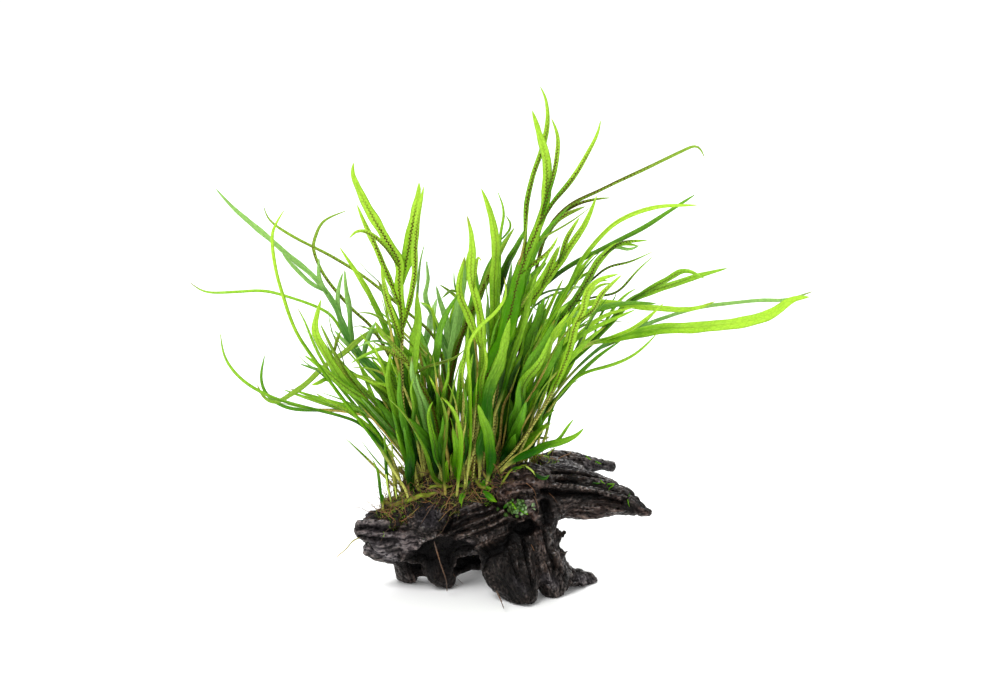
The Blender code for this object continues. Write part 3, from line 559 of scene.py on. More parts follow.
pitted = np.clip(3 * patches, 0, 1) * np.clip(3 * (-pits - 0.1), 0, 1)
relief -= PITS["depth"] * pitted
print("relief mm:", round(relief.min() / MM, 2), "to", round(relief.max() / MM, 2))

# %% [markdown]
# ## Carving
# Some forms belong to this one piece of wood: the flat grey face of the round knob, the long grooves of the
# horn, the dark hollow under the log's lip, the folds of the front foot and the mossy hollow beside it. Each
# is a stroke drawn in the tracing view with a width and a depth. A stroke moves only skin that faces the
# view.

# %% Strokes of the carver
# Each stroke: half width in tracing points, depth in mm (minus cuts in, plus builds up), and its line
STROKES = """
2.2 -1.7: 361,528 372,528 384,528 396,529
2 1: 358,524 370,523 384,523 394,523
2 1.1: 356,532 368,533 382,534 394,535
2.2 -1.7: 358,538 370,539 384,541 396,542
2.4 0.8: 362,545 376,549 390,554 400,560
1.6 1.7: 413,527 410,517 413,507 419,501 428,498 437,499 444,504 447,512
9 -2: 426,513 428,519
2.4 -3: 450,506 451,515 449,525 445,532
3.6 1.3: 398,528 404,538 406,548
1.9 1.8: 403,557 410,551 417,545 426,539 436,535 447,531
10 -4.6: 418,560 432,557 450,557 466,559 476,561
4.5 -2.2: 424,547 440,542 456,544 470,549
1.5 0.9: 432,552 448,549 462,551 474,556
1.6 -1.5: 453,528 468,520 486,514 502,506
1.5 1: 452,532 468,525 488,518 504,511
1.6 -1.5: 450,537 466,530 486,523 504,515
1.5 0.9: 456,538 474,531 492,525 506,518
1.6 -1.3: 458,542 474,536 492,529 508,521
1.5 -1.2: 455,520 470,513 484,507 498,500
1.9 1.9: 468,552 482,546 494,540 508,533 522,519
5 -4.2: 480,556 490,551 500,546 512,538
5.5 -4.6: 515,528 523,529 531,527
4.4 -4.4: 545,504 547,512 548,520
6.5 0.9: 506,562 512,577 520,592
1.9 -2: 523,538 526,552 529,566 532,580 536,594
2.6 2: 534,514 535,530 539,548 544,566 548,578
1.9 -1.8: 542,522 545,537 550,553 555,568
2 1.3: 549,532 552,546 557,559 562,571
1.6 -1: 510,548 513,562 517,576
1.4 -0.9: 536,534 540,550 544,564
6 1.5: 505,497 515,487 528,481 541,481
2 -1.6: 497,505 506,508 512,514 520,518
2.2 -1.5: 505,492 518,486 530,486
2.7 -3.4: 543,491 560,493 578,494 596,496
1.7 -1.9: 594,496 608,499 622,503
1.4 1.1: 552,485 572,487 594,491 616,495 629,498
1.3 -1.4: 556,481 576,482 598,486 618,491
1.4 1: 554,477 574,478 596,481 612,486
1.3 -1.3: 552,473 572,473 590,476 604,480
7 0.9: 566,506 590,508 616,509
1.2 -0.6: 562,510 584,511 606,512 626,512
1.2 -0.6: 570,503 590,504 610,506
"""
# Each swell: (across, down) in the tracing, depth, reach and push in mm. It moves the skin all around
SWELLS = [
    (361, 516, 26, 3.6, 1.9),
    (378, 515, 26, 3.4, -2.3),
    (568, 577, 24, 4.6, -1.9),
    (588, 582, 33, 3.6, 1.0),
    (648, 500, 17, 5.0, -1.7),
    (598, 585, 37, 4.0, -2.6),
    (613, 466, 48, 3.4, 0.9),
    (600, 473, 46, 3.6, -1.3),
    (476, 556, 34, 3.4, 1.6),
    (404, 560, 34, 5.0, 1.4),
    (553, 598, 14, 3.4, -1.4),
]
FACING = 0.15
FACING_RANGE = 0.35
SOFT_EDGE = 1.6
DEEP_CUT = 3.2


def stroke_depth(flat, half_width, line):
    """How strongly each traced point lies in a stroke, from 0 to 1."""
    path = smooth_path(line, 1.0)
    apart = np.min(np.linalg.norm(flat[:, None, :] - path[None, :, :], axis=2), axis=1)
    return np.clip(1 - (apart / (SOFT_EDGE * half_width)) ** 2, 0, 1) ** 2


def painted(strokes, unit=1):
    """What strokes add up to at each point of the skin."""
    total = np.zeros(len(spots))
    for half_width, strength, line in read_rows(strokes):
        total[near] += strength * unit * facing[near] * stroke_depth(flat[near], half_width, line)
    return total


to_eye = np.array(EYE) - spots
to_eye /= np.linalg.norm(to_eye, axis=1)[:, None]
facing = np.clip(((normals * to_eye).sum(1) - FACING) / FACING_RANGE, 0, 1)
flat = np.array([traced(Vector(point)) for point in spots])
near = np.nonzero(facing > 0)[0]
carved = painted(STROKES, MM)
for across, down, depth, reach, push in SWELLS:
    apart = np.linalg.norm(spots - np.array(place(across, down, depth * MM)), axis=1)
    carved += push * MM * np.exp(-((apart / (reach * MM)) ** 2))
relief += carved
# Painted shade: the deeper a cut goes in, the darker it is coloured; cuts also lower the relief tone, and
# build-ups raise it as painted light
hollow_shade = np.clip(-carved / MM / DEEP_CUT, 0, 1) ** 0.8
ridge += np.clip(carved / MM, -2, 1.5) * 0.35
spots += normals * relief[:, None]
spots[:, 2] = np.maximum(spots[:, 2], 0)
spots = np.clip(spots, *(np.array(corner) for corner in cad_box))
fine.vertices.foreach_set("co", spots.ravel())
fine.update()
print("strokes:", STROKES.count(":"))
print("carved mm:", round(carved.min() / MM, 2), "to", round(carved.max() / MM, 2))

# %% [markdown]
# ## Bog wood
# The wet wood is nearly black, with brown-red on the worn places. The colour follows the relief, which is kept
# on
# the mesh as an attribute: black in the cracks, pits and carved hollows, which is painted shade, and grey on
# the ridges, which is partly the worn wood's own grey and partly painted light. Dark strokes paint shade into
# the deep recesses as well. The finest fibres are a bump in the grain's own axes, so that they run along each
# limb too.

# %% The bog wood's finish
GRAIN_SCALE = (1.0, 1.0, 0.07)


def keep_attribute(mesh, name, values):
    """Keeps a number or a vector for each point on the mesh, for its material to read."""
    values = np.asarray(values, np.float32)
    vectors = values.ndim > 1
    layer = mesh.attributes.new(name, "FLOAT_VECTOR" if vectors else "FLOAT", "POINT")
    layer.data.foreach_set("vector" if vectors else "value", values.ravel())


# Stains painted in the tracing view: half width in tracing points, strength, and a line
RED_STAINS = """
9 1: 503,494 514,484 528,479 542,481
6 0.7: 506,508 520,514 532,512
4 0.7: 535,515 538,532 543,552
6 0.6: 566,508 592,509 622,510
4 1: 640,510 652,516
6 0.6: 398,528 404,540 412,542
6 0.5: 456,512 474,507 492,502
3 0.6: 356,532 376,534 394,535
"""
GREY_STAINS = """
10 1: 427,512 428,518
11 0.4: 366,528 390,538 412,546
5 0.6: 362,545 378,550 394,558
3 0.7: 357,512 366,514
5 0.6: 580,578 592,582
5 0.5: 560,462 584,466 610,468
4 0.5: 516,580 524,592
5 0.5: 545,578 554,583
5 0.4: 470,545 456,548 444,552
"""
# Painted shade, drawn the same way: darker colour in the cave under the log's lip, the grooves beside the boss
# and under the horn, the recesses by the knob and the shaded faces of the feet
PAINTED_SHADE_STROKES = """
12 1.5: 414,562 432,556 450,555 466,557 482,560
9 1.2: 430,574 450,574 462,570
7 0.9: 484,557 498,548 512,536
7 1: 515,527 524,529 534,526
5 1: 545,505 548,515 549,522
4 0.8: 546,492 566,494 590,496
9 0.6: 503,556 510,572 518,588
4 0.7: 450,508 450,520 446,531
6 0.6: 556,566 564,574 570,580
9 0.5: 556,502 590,505 618,504 635,506
15 0.5: 520,540 520,565 520,592
10 0.45: 500,556 502,574 506,588
9 0.4: 505,480 525,480 542,484
8 0.4: 546,560 552,576 552,590
5 0.5: 598,467 606,467 613,467
8 0.3: 560,470 590,474 615,482
"""


def stain_and_shade(stain_and_shade_rows):
    """How strongly each point of the skin takes a set of strokes, from 0 to 1. The red and grey strokes are
    real stains and the dark ones are painted shade.
    """
    return np.clip(painted(stain_and_shade_rows), 0, 1)


keep_attribute(fine, "ridge", ridge)
keep_attribute(fine, "pit", pitted)
# Painted shade: the carved hollows and the dark strokes, kept on the mesh for the material to turn near black
keep_attribute(fine, "hollow_shade", np.maximum(hollow_shade, 0.9 * stain_and_shade(PAINTED_SHADE_STROKES)))
keep_attribute(fine, "red", stain_and_shade(RED_STAINS))
keep_attribute(fine, "grey", stain_and_shade(GREY_STAINS))
keep_attribute(fine, "grain", grain / MM * GRAIN_SCALE)

bog_wood, start, surface = new_material("bog_wood")
objects = start.objects()
grain_place = start.attribute("grain", "Vector")
fibre = start.speckle(grain_place, 1.5, 6.0, 0.68)
streak = start.speckle(grain_place, 0.5, 3.0, 0.5)
patch = start.speckle(objects, 55.0, 3.0, 0.55)
dust = start.speckle(objects, 800.0, 3.0, 0.65)
pores = start.node("ShaderNodeTexVoronoi", {"feature": "F1"}, {"Vector": objects, "Scale": 620.0})
pores = pores.ramp(0.08, 0.55)
fine_grain = (fibre - 0.5) * 1.35 + (streak - 0.5) * 0.7 + (dust - 0.5) * 0.6 + (pores - 0.7) * 0.4
# The colour by relief and fibres: near black in the cracks and low places, which is painted shade, and grey on
# the ridges, partly the worn wood's own grey and partly painted light
lifted = start.attribute("ridge") * 0.42 + fine_grain + 0.34
wood = lifted.colours(
    (0.0, 4, 3, 3), (0.25, 10, 7, 5), (0.5, 25, 18, 15), (0.74, 49, 38, 33), (1.0, 106, 90, 82)
)
redder = (start.attribute("red") * 0.75 + patch.ramp(0.52, 0.7, 0.0, 0.45)).blend(
    wood, lifted.colours((0.1, 11, 6, 5), (0.5, 40, 26, 22), (0.95, 88, 64, 54))
)
greyer = (start.attribute("grey") * 0.8).blend(
    redder, lifted.colours((0.1, 22, 20, 23), (0.5, 74, 69, 74), (0.95, 140, 135, 140))
)
# Painted shade: the pits are coloured near black
pit_shade = (start.attribute("pit") * 0.7).blend(greyer, paint(8, 7, 7))
# Painted shade: the base colour goes near black in the carved hollows and under the dark strokes, and the coat
# fades there
start.fill(surface, {
    "Base Color": (start.attribute("hollow_shade") * 0.88).blend(pit_shade, paint(5, 4, 4)),
    "Roughness": streak.ramp(0.35, 0.7, 0.34, 0.6),
    "Coat Weight": lifted.ramp(0.4, 0.8, 0.04, 0.7) * (1 - start.attribute("hollow_shade")),
    "Coat Roughness": 0.2,
    "Specular IOR Level": 0.1,
    "Normal": (fibre * 0.8 + dust * 0.35 + pores * 0.35).bump(1.0, 0.001),
})
fine.materials.append(bog_wood)
print("wood finish:", len(bog_wood.node_tree.nodes), "nodes")

# %% [markdown]
# ## Where the fronds stand
# Each frond is the same few traced points as its solid: a seat on the wood, a midrib for the main blade, and
# one for each fork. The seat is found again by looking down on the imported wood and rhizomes. Blades that
# cross in the view are moved apart in depth by the same small settling as in the solids' source, with the
# feet held, so every fine leaf lands exactly on its faceted one.

# %% The traced fronds
# Each frond is a few rows. The first has its name, its seat (across, depth in mm) and, where its stalk is
# longer or shorter than most, the shares of its length where its bare stalk ends and its full width begins.
# Then come its blades, the first from the seat and the others off it: the tip's depth and the width in mm,
# the turn of the face in degrees, and the midrib
FRONDS = """
grey_forked 446 26
40 4.6 20: 437,453 419,435 394,405 377,375 353,348 336,309 318,281 296,262 253,225 235,210 215,188
46 2.2 -30: 319,290 312,284 300,272 287,259 281,250
34 2 25: 324,292 319,280 318,270 319,257
30 2.8 -35: 352,344 351,325 350,308 346,286 345,269
44 2.4 30: 342,322 337,305 338,288 343,272
30 2 40: 358,352 340,338 334,330
22 2.6 -25: 359,355 371,332 376,322

olive_drooping 428 32
22 2.6 -30: 432,462 424,430 414,396 403,362 392,339 378,329 362,337 345,352 330,362 318,372 300,388 \
275,403 262,395 257,384

thread_left 434 36
58 1.4 45: 440,450 405,398 372,366 346,338 333,317 319,308 292,298 265,291 235,292 205,292 188,281

long_left 456 36
56 1.5 40: 452,430 444,370 434,337 407,312 367,279 336,259 292,236 269,220 263,204

strap_left 409 13
-20 1.8 -40: 407,492 395,473 384,454 364,426 340,395 318,364 297,333 283,295 276,269 272,236 277,222 285,209

faint_left 402 26
28 1.5 45: 397,470 380,436 352,402 333,378 316,349 305,322 297,307

lime_left 422 20 0.2 0.4
0 4 20: 419,466 398,444 376,419 362,404 345,384 329,360 316,335 315,322 321,299

olive_left 414 29
10 2.4 -35: 414,462 394,420 365,393 350,380 340,363 330,344 320,323
14 1.6 30: 333,350 337,339 341,330

low_left 396 15
-14 1.5 45: 390,460 364,427 340,416 300,406 269,396 242,380 225,358 220,332

low_left_rear 436 40
42 2 -40: 436,462 414,432 385,420 358,411 322,410 289,408 268,396 261,378 265,354

trident 419 14 0.42 0.62
-16 4 12: 415,470 404,412 402,368 402,325 399,285 399,261 387,241 373,217 360,193 352,172 354,162
-4 5.2 18: 400,282 406,263 410,239 415,211 418,198 419,182
-22 3 -25: 402,325 410,302 415,275 415,252 417,226 421,203 424,186
-26 2.2 35: 399,265 384,245 370,234 358,230 349,239
-8 3 -30: 400,302 387,273 381,258 373,240 363,219 357,204
-20 3 28: 402,340 391,312 386,297 383,281 381,265

curl_left 426 40
40 1.6 40: 426,455 405,390 376,333 352,309 325,277 313,249 315,238 323,221 348,210

blue_green 436 15 0.18 0.4
4 4.8 20: 436,458 426,436 419,412 413,380 414,345 418,324 417,308 417,291

short_left 408 21
4 3.2 -20: 408,462 396,412 388,382 389,365 392,347

olive_middle 444 22
-14 2.8 -22: 441,452 433,409 419,384 404,357 390,342 376,322
-18 1.6 40: 404,360 390,352 373,342

rear_fan 462 40
44 3.8 20: 458,440 450,380 448,340 445,318 440,302 436,285
50 3 -25: 449,350 455,318 459,302 461,288
38 2.6 30: 448,345 434,320 424,298 428,282 426,260
52 2.4 -30: 449,362 440,335 432,312 420,302

upright_left 458 22 0.34 0.55
2 3.6 20: 464,448 473,418 480,380 482,330 477,303 471,276 472,240 467,215
14 3.4 -20: 480,345 467,312 459,294 460,278 465,256
-6 1.3 40: 474,286 476,266 478,254 482,262

upright_middle 474 30 0.3 0.5
-2 3.8 -18: 478,440 486,395 493,345 494,305 494,280 496,240 488,205 481,188

thin_middle 480 38
34 1.6 40: 486,450 492,400 497,340 499,280 500,237 504,212 497,190
28 1.1 30: 501,236 508,232 512,225 505,215

tallest 470 14
-18 8 14: 474,462 478,395 490,371 500,349 512,307 518,279 528,252 536,232 544,208 547,178 544,150 532,110
-10 2.4 -20: 528,256 526,226 527,203 533,176 543,148 548,120 546,98 540,86
-26 2.4 25: 544,212 549,188 555,167 558,143 556,130 551,118
-32 2.4 -25: 541,224 553,203 569,184 585,159 597,136 601,120
-8 2 35: 524,272 542,257 552,247 558,236

dotted 448 31
18 3 -15: 451,440 449,390 455,356 465,327 481,292 498,256 508,238 515,227

bright_thin 464 14
-28 1.7 40: 470,448 470,390 468,348 480,326 494,314 506,296 504,277

hook_right 500 38
38 1.8 35: 503,440 516,370 530,300 545,236 567,207 602,189 640,171 680,152 698,145 705,159
44 1.5 -35: 560,213 578,204 598,199 612,198
30 2.2 20: 545,236 556,221 571,212 586,206

lime_right 486 21 0.25 0.48
0 3.2 20: 492,440 499,385 510,325 534,298 552,273 571,245 586,222 597,195
-6 2.4 -30: 560,264 563,252 567,238 580,217
6 2.4 30: 544,287 552,264 560,245

dark_strap 490 42
26 2.4 -30: 498,430 503,370 514,320 536,293 567,268 602,249 638,231 670,211 696,194

arched_lime 508 20 0.3 0.5
-28 2.2 30: 512,430 522,378 545,330 568,288 580,263 598,239 620,220 655,207 699,205

dotted_right 510 31 0.22 0.45
-20 3.2 -18: 512,448 517,427 524,400 535,360 549,333 568,311 586,283 600,259 618,244 639,246
-26 1.6 30: 606,253 620,243 648,240
-12 1.1 20: 586,286 606,268 629,262 654,251
-32 1.1 -20: 578,300 600,296 618,292 638,270 655,255

yellow_front 478 19 0.4 0.6
-42 3.4 20: 488,476 514,451 543,409 556,384 569,351 575,325 583,312 587,291 600,279 619,274
-50 2.4 -25: 581,318 594,310 600,296 611,285 622,275

forked_right 516 38 0.3 0.5
32 3.2 25: 522,435 545,390 594,339 616,316 636,297 674,284 700,275 728,268
24 2.8 -25: 634,299 652,288 669,279 685,270 705,279

level_right 506 46 0.3 0.5
18 2.8 20: 516,425 533,365 560,325 588,303 611,303 656,308 692,309 716,301

far_right 530 35 0.25 0.45
52 2.1 -35: 535,430 562,385 600,348 633,331 664,318 704,307 755,301 786,300 814,291

broad_right 520 24 0.34 0.56
-32 4.8 12: 528,445 550,392 580,349 616,338 657,329 697,327 743,322 770,314 793,299 810,297
-24 1.8 -30: 606,341 629,331 645,320 655,312 664,303

thin_right 534 32
-12 1.6 35: 533,458 545,438 554,403 578,376 611,365 632,356 647,344 658,332

bundle_right 517 50
12 2.2 -25: 532,440 545,412 560,396 574,379 600,355 622,340

low_right 498 14
-24 3.6 18: 510,463 527,454 545,446 563,441 576,436 584,428
-18 1.5 -30: 551,446 559,440 566,429 574,419

front_leaf 486 13 0.05 0.35
-18 5 12: 490,464 490,448 487,431 482,417 478,404

broad_dark 431 21 0.05 0.4
-6 5.4 -15: 438,466 434,450 425,437 417,428 408,418

bright_middle 456 13
-30 2.3 25: 460,462 461,440 457,418 450,405 441,397

curved_stem 446 13
-24 1.5 30: 443,460 445,443 447,427 446,412 440,397

dark_right 498 30 0.04 0.24
12 5.2 15: 504,448 512,412 520,384 528,356 538,330 546,308

dark_middle 482 45 0.04 0.24
34 5.4 -18: 488,455 498,422 508,396 517,372 525,346 531,320

fiddlehead 383 17
-8 1.5 20: 380,490 379,478 377,468 372,459

young_left 390 22
2 1.6 30: 388,488 386,470 385,452 385,436

yellow_stem 450 19
-14 1.9 20: 445,484 437,482 431,472 429,462 424,448 414,430

rear_left 446 46 0.04 0.22
86 5 25: 440,440 432,390 424,350 414,318
78 2.8 -30: 431,386 438,350 440,322

rear_middle 474 48 0.04 0.22
78 5 -25: 474,440 474,380 470,330 476,290 474,262
88 2.8 25: 472,345 462,318 456,296

rear_right 500 52 0.04 0.22
92 5 20: 508,430 526,370 548,325 574,298
84 2.6 -30: 532,360 536,325 540,300
"""
BODY_RISE = (0.1, 0.38)
FORK_RISE = (0, 0.35)
FORK_START = 0.6
FORK_NECK = 1.5
# Fronds whose main blade narrows past a fork: where that begins and ends, and the share of width kept
WAISTS = {"tallest": (0.48, 0.66, 0.5), "grey_forked": (0.42, 0.55, 0.55)}
seats = {}
traces = {}
body_rises = {}
for block in FRONDS.strip().split("\n\n"):
    first, rows = block.split("\n", 1)
    name, *numbers = first.split()
    across, depth, *rise = (float(number) for number in numbers)
    seats[name] = (across, depth)
    traces[name] = list(read_rows(rows))
    if rise:
        body_rises[name] = rise
print("fronds:", len(seats), "blades:", FRONDS.count(":"))

# %% Blades that grow and settle
TOUCHING_GAP = 0.35 * MM
RIB_HALF_THICKNESS = 0.42 * MM
STIPE_HALF_WIDTH = 0.6 * MM
FROND_CLEARANCE = 0.45 * MM
RHIZOME_RADIUS = 1.5 * MM
SETTLE_STEP = 2 * MM
SETTLE_ROUNDS = 400
FOOT_HOLD = 12 * MM
SETTLE_SMOOTHINGS = 3
FOOTPRINT = 1.3 * MM
TIP_PART = 0.4
TIP_LENGTH = 20 * MM
TIP_BLUNT = 0.55
LEAST_HALF_WIDTH = 0.12 * MM
DEPTH_EASE = 1.2
FOOT_MARGIN = 6
WOOD_ROW = 500
HIGH_ABOVE = 0.2
DOWN = Vector((0, 0, -1))


class Blade:
    """One blade of a frond: its midrib and half widths along equal steps."""

    def __init__(self, frond, points, seat, parent, tip_depth, width, turn):
        self.frond = frond
        self.parent = parent
        self.seat = seat
        self.turn = math.radians(turn)
        if parent is None:
            self.joint = 0
        else:
            from_fork = np.linalg.norm(parent.flat - np.array(points[0]), axis=1)
            self.joint = max(1, int(np.argmin(from_fork))) - 1
            points = [tuple(parent.flat[self.joint])] + points[1:]
        self.flat = smooth_path(points, SETTLE_STEP / PIXEL)
        self.share = np.linspace(0, 1, len(self.flat))
        self.length = SETTLE_STEP * (len(self.flat) - 1)
        self.half = self.half_widths(width / 2 * MM)
        begin = seat.y if parent is None else parent.depth[self.joint]
        self.drawn = begin + (tip_depth * MM - begin) * self.share**DEPTH_EASE
        self.moved = np.zeros(len(self.share))
        self.depth = self.drawn

    def half_widths(self, broadest):
        """Half the blade's width along it: a slender stalk, a long body and a pointed tip."""
        share = self.share
        if self.parent is None:
            stalk = min(STIPE_HALF_WIDTH, broadest)
            start, full = body_rises.get(self.frond, BODY_RISE)
        else:
            stalk = min(FORK_START * broadest, FORK_NECK * self.parent.half[self.joint])
            start, full = FORK_RISE
        rise = np.clip((share - start) / (full - start), 0, 1)
        self.body = rise if self.parent is None else np.ones(len(share))
        body = stalk + (broadest - stalk) * (3 * rise**2 - 2 * rise**3)
        if self.parent is None and self.frond in WAISTS:
            begin, end, kept = WAISTS[self.frond]
            body = body * (1 - (1 - kept) * np.clip((share - begin) / (end - begin), 0, 1))
        point = np.clip((1 - share) / min(TIP_PART, TIP_LENGTH / self.length), 0, 1) ** TIP_BLUNT
        return np.maximum(body * point, LEAST_HALF_WIDTH)

    def reach(self):
        """How far the blade reaches in depth from its midrib."""
        rib = np.minimum(RIB_HALF_THICKNESS, 0.7 * self.half + 0.1 * MM)
        return self.half * abs(math.sin(self.turn)) + rib

    def midrib(self):
        """The midrib's points in space."""
        return np.array([place(x, y, d) for (x, y), d in zip(self.flat, self.depth)])


def near_pairs(blades):
    """Sample pairs of different fronds that cross in the tracing, and which one is in front."""
    flat = np.vstack([blade.flat for blade in blades]) * PIXEL
    half = np.concatenate([blade.half * abs(math.cos(blade.turn)) for blade in blades])
    reach = np.concatenate([blade.reach() for blade in blades])
    depth = np.concatenate([blade.depth for blade in blades])
    owner = np.concatenate([np.full(len(blade.flat), i) for i, blade in enumerate(blades)])
    names = list(dict.fromkeys(blade.frond for blade in blades))
    frond = np.array([names.index(blade.frond) for blade in blades])[owner]
    gap = np.hypot(flat[:, None, 0] - flat[None, :, 0], flat[:, None, 1] - flat[None, :, 1])
    close = gap < half[:, None] + half[None, :] + 0.75 * SETTLE_STEP
    first, second = np.nonzero(close & (frond[:, None] < frond[None, :]))
    key = owner[first] * len(blades) + owner[second]
    _, where = np.unique(key, return_inverse=True)
    mean = np.bincount(where, depth[first] - depth[second]) / np.bincount(where)
    order = np.where(mean >= 0, 1.0, -1.0)[where]
    need = reach[first] + reach[second] + FROND_CLEARANCE
    return first, second, order, need


def settle_depths(blades, held=(), rounds=SETTLE_ROUNDS):
    """Moves blades that cross apart in depth, smoothly, with their feet held and the held blades still."""
    first, second, order, need = near_pairs(blades)
    starts = np.cumsum([0] + [len(blade.flat) for blade in blades])
    for _ in range(rounds):
        depth = np.concatenate([blade.depth for blade in blades])
        short = need - order * (depth[first] - depth[second])
        touching = short > 0
        push = np.zeros(len(depth))
        pull = np.zeros(len(depth))
        shift = 0.5 * short[touching]
        ahead = order[touching] > 0
        np.maximum.at(push, np.where(ahead, first[touching], second[touching]), shift)
        np.maximum.at(pull, np.where(ahead, second[touching], first[touching]), shift)
        move = 0.5 * (push - pull)
        for blade, begin, end in zip(blades, starts, starts[1:]):
            if blade in held:
                continue
            step = move[begin:end]
            for _ in range(SETTLE_SMOOTHINGS):
                step = np.convolve(np.pad(step, 1, mode="edge"), (0.25, 0.5, 0.25), mode="valid")
            blade.moved = blade.moved + step
            travelled = SETTLE_STEP * np.arange(len(step))
            if blade.parent is None:
                blade.depth = blade.drawn + blade.moved * np.clip(travelled / FOOT_HOLD, 0, 1)
            else:
                slip = blade.parent.depth[blade.joint] - blade.drawn[0] - blade.moved[0]
                blade.depth = blade.drawn + blade.moved + slip * np.exp(-travelled / FOOT_HOLD)


def stand_on(tree, across, depth, footprint, lift):
    """The point a lift above the highest surface under a small footprint, at a column and a depth in mm."""
    x = place(across, WOOD_ROW, depth * MM).x
    heights = []
    for dx, dy in ((0, 0), (1, 0), (-1, 0), (0, 1), (0, -1)):
        above = Vector((x + dx * footprint, depth * MM + dy * footprint, HIGH_ABOVE))
        spot = tree.ray_cast(above, DOWN)[0]
        if spot is not None:
            heights.append(spot.z)
    return Vector((x, depth * MM, max(heights) + lift))


ground = BVHTree.FromBMesh(joined(WOOD_NODES + STEM_NODES))
blades = []
for name, (across, depth) in seats.items():
    seat = stand_on(ground, across, depth, FOOTPRINT, TOUCHING_GAP)
    foot = traced(seat)
    main_blade = None
    for tip_depth, width, turn, points in traces[name]:
        if main_blade is None:
            points = [foot] + [point for point in points if point[1] < foot[1] - FOOT_MARGIN]
        blade = Blade(name, points, seat, main_blade, tip_depth, width, turn)
        main_blade = main_blade or blade
        blades.append(blade)
settle_depths(blades)
print("blades settled:", len(blades))

# %% [markdown]
# ## Slips, the small side lobes
# Between the big fronds the photograph shows many small ones: short side lobes, hooked tips and hair-thin
# strands. Each is traced as its midrib, and grows out of whichever solid frond passes nearest to its first
# point, so none of them hangs in the air.

# %% Traced slips
# Each slip: its finish, its width in mm, how far its tip leans back in mm, and its midrib
SLIPS = """
grey 4.4 12: 447,400 452,360 458,320 462,288 465,256
lime 4.0 -4: 440,440 443,400 447,350 456,312 466,272 469,250
dark 3.0 4: 468,325 479,297 489,268 500,249 515,227
dark 3.4 3: 497,293 503,275 511,257 519,243 527,227
green 2.6 -3: 517,286 525,270 534,263 544,257
dark 3.8 -4: 515,310 522,293 532,277 547,262
lime 2.4 -6: 510,330 525,300 540,280 550,262 558,246
grey 1.1 5: 530,306 545,298 560,292 584,286
grey 1.0 8: 531,300 545,292 560,289 585,285
grey 0.6 4: 526,312 531,302 535,310 540,313 538,305
grey 0.7 6: 421,300 427,290 430,277 425,264 429,260
grey 1.3 8: 415,330 417,300 419,275 421,258 425,243
grey 0.9 9: 460,300 455,288 454,270
olive 2.0 -5: 470,325 468,311 460,300 450,291 439,284
green 1.3 -5: 449,291 452,288 444,297 441,299
dark 3.8 6: 430,400 436,350 441,325 447,311 458,294
dark 2.0 5: 446,312 440,300 436,293
lime 1.4 -6: 430,335 434,328 434,315 430,306 420,302
grey 3.6 14: 428,345 430,322 434,306 437,298
lime 5.0 5: 422,440 416,415 412,390 410,365 413,338
dark 3.0 -6: 441,432 432,405 422,385 408,360 397,344
olive 1.4 -7: 418,370 426,367 440,363 455,358 465,349
olive 1.3 -5: 437,460 444,447 447,430 444,410 441,397
lime 2.2 -8: 465,446 460,428 452,410 443,396
olive 0.9 3: 520,262 532,246 546,236 570,222 592,206
lime 1.7 -3: 566,300 575,280 584,265 596,253
dark 0.9 4: 570,295 582,272 590,262 601,251
lime 1.5 -6: 586,303 596,287 604,284 612,283
lime 1.0 -4: 590,287 600,280 609,281
dark 1.1 5: 590,330 600,316 610,303 617,298 616,292
green 1.5 7: 600,330 611,312 621,299 628,293 637,288
grey 1.7 3: 604,255 614,246 622,249 632,250 640,245
lime 2.1 6: 548,395 556,360 560,335 566,309
lime 2.0 -3: 552,390 562,355 568,330 572,317
lime 2.3 8: 560,385 578,350 588,325 597,307 604,295
dark 1.3 3: 575,352 583,335 592,318 601,306 608,297
green 4.2 7: 532,350 550,322 565,308 584,299
lime 4.4 -3: 540,352 556,330 571,318 590,312 602,303
green 2.8 5: 548,400 560,372 576,352 592,336 606,326
grey 0.7 3: 330,384 318,371 305,363 297,354
grey 0.6 5: 352,372 340,350 333,335 329,318 328,304
grey 0.5 6: 392,300 378,281 366,270 355,256
olive 1.3 -6: 415,345 400,333 386,322 371,313 357,313
olive 0.7 -3: 377,334 363,325 351,328
grey 1.0 4: 400,352 390,345 377,340 367,342 355,349
lime 1.3 -4: 392,392 384,370 378,356 373,342
lime 2.6 -7: 410,353 398,344 385,338 378,330 375,321
dark 2.0 -4: 398,410 383,391 370,381 356,375 344,366
dark 3.4 5: 405,450 384,425 366,406 352,392 341,377
green 1.7 7: 392,440 380,412 368,385 360,366 354,352
lime 2.2 4: 320,384 326,376 322,382 311,385
dark 2.4 8: 432,440 430,424 415,424 400,421 386,415
olive 1.0 -3: 428,460 418,436 404,414 388,398
green 3.0 -5: 500,440 508,420 516,405 530,395 541,385
green 2.2 4: 521,420 533,400 546,380 549,366
grey 2.6 8: 500,330 505,300 509,285 512,262
lime 1.6 5: 600,345 622,338 640,327 654,314
"""
SLIP_FINISHES = dict(grey="grey_green", lime="lime", dark="dark_green", green="green", olive="olive")
SLIP_TURN = 35
chance = random.Random(4)
slips = []
for number, (finish, width, lean, knots) in enumerate(read_rows(SLIPS)):
    parent = min(blades, key=lambda blade: np.linalg.norm(blade.flat[2:-2] - knots[0], axis=1).min())
    joint = int(np.argmin(np.linalg.norm(parent.flat - knots[0], axis=1)))
    tip_depth = parent.depth[joint] / MM + lean
    turn = chance.uniform(-SLIP_TURN, SLIP_TURN)
    slip = Blade(f"slip_{number}", knots, None, parent, tip_depth, width, turn)
    slip.slot = "frond_" + SLIP_FINISHES[finish]
    slips.append(slip)
print("slips:", len(slips))

# %% [markdown]
# ## Companions in the dense middle
# The real tuft holds many more fronds than there are solids. Each companion lies between two neighbouring
# solid fronds, part of the way along both, so it stays inside the shape that the solids already have. They
# are broad low leaves, middling ones and little more than stalks. All settle between the solids, which keep
# still.

# %% Companion fronds
COMPANION_KNOTS = 7
COMPANION_ROUNDS = 120
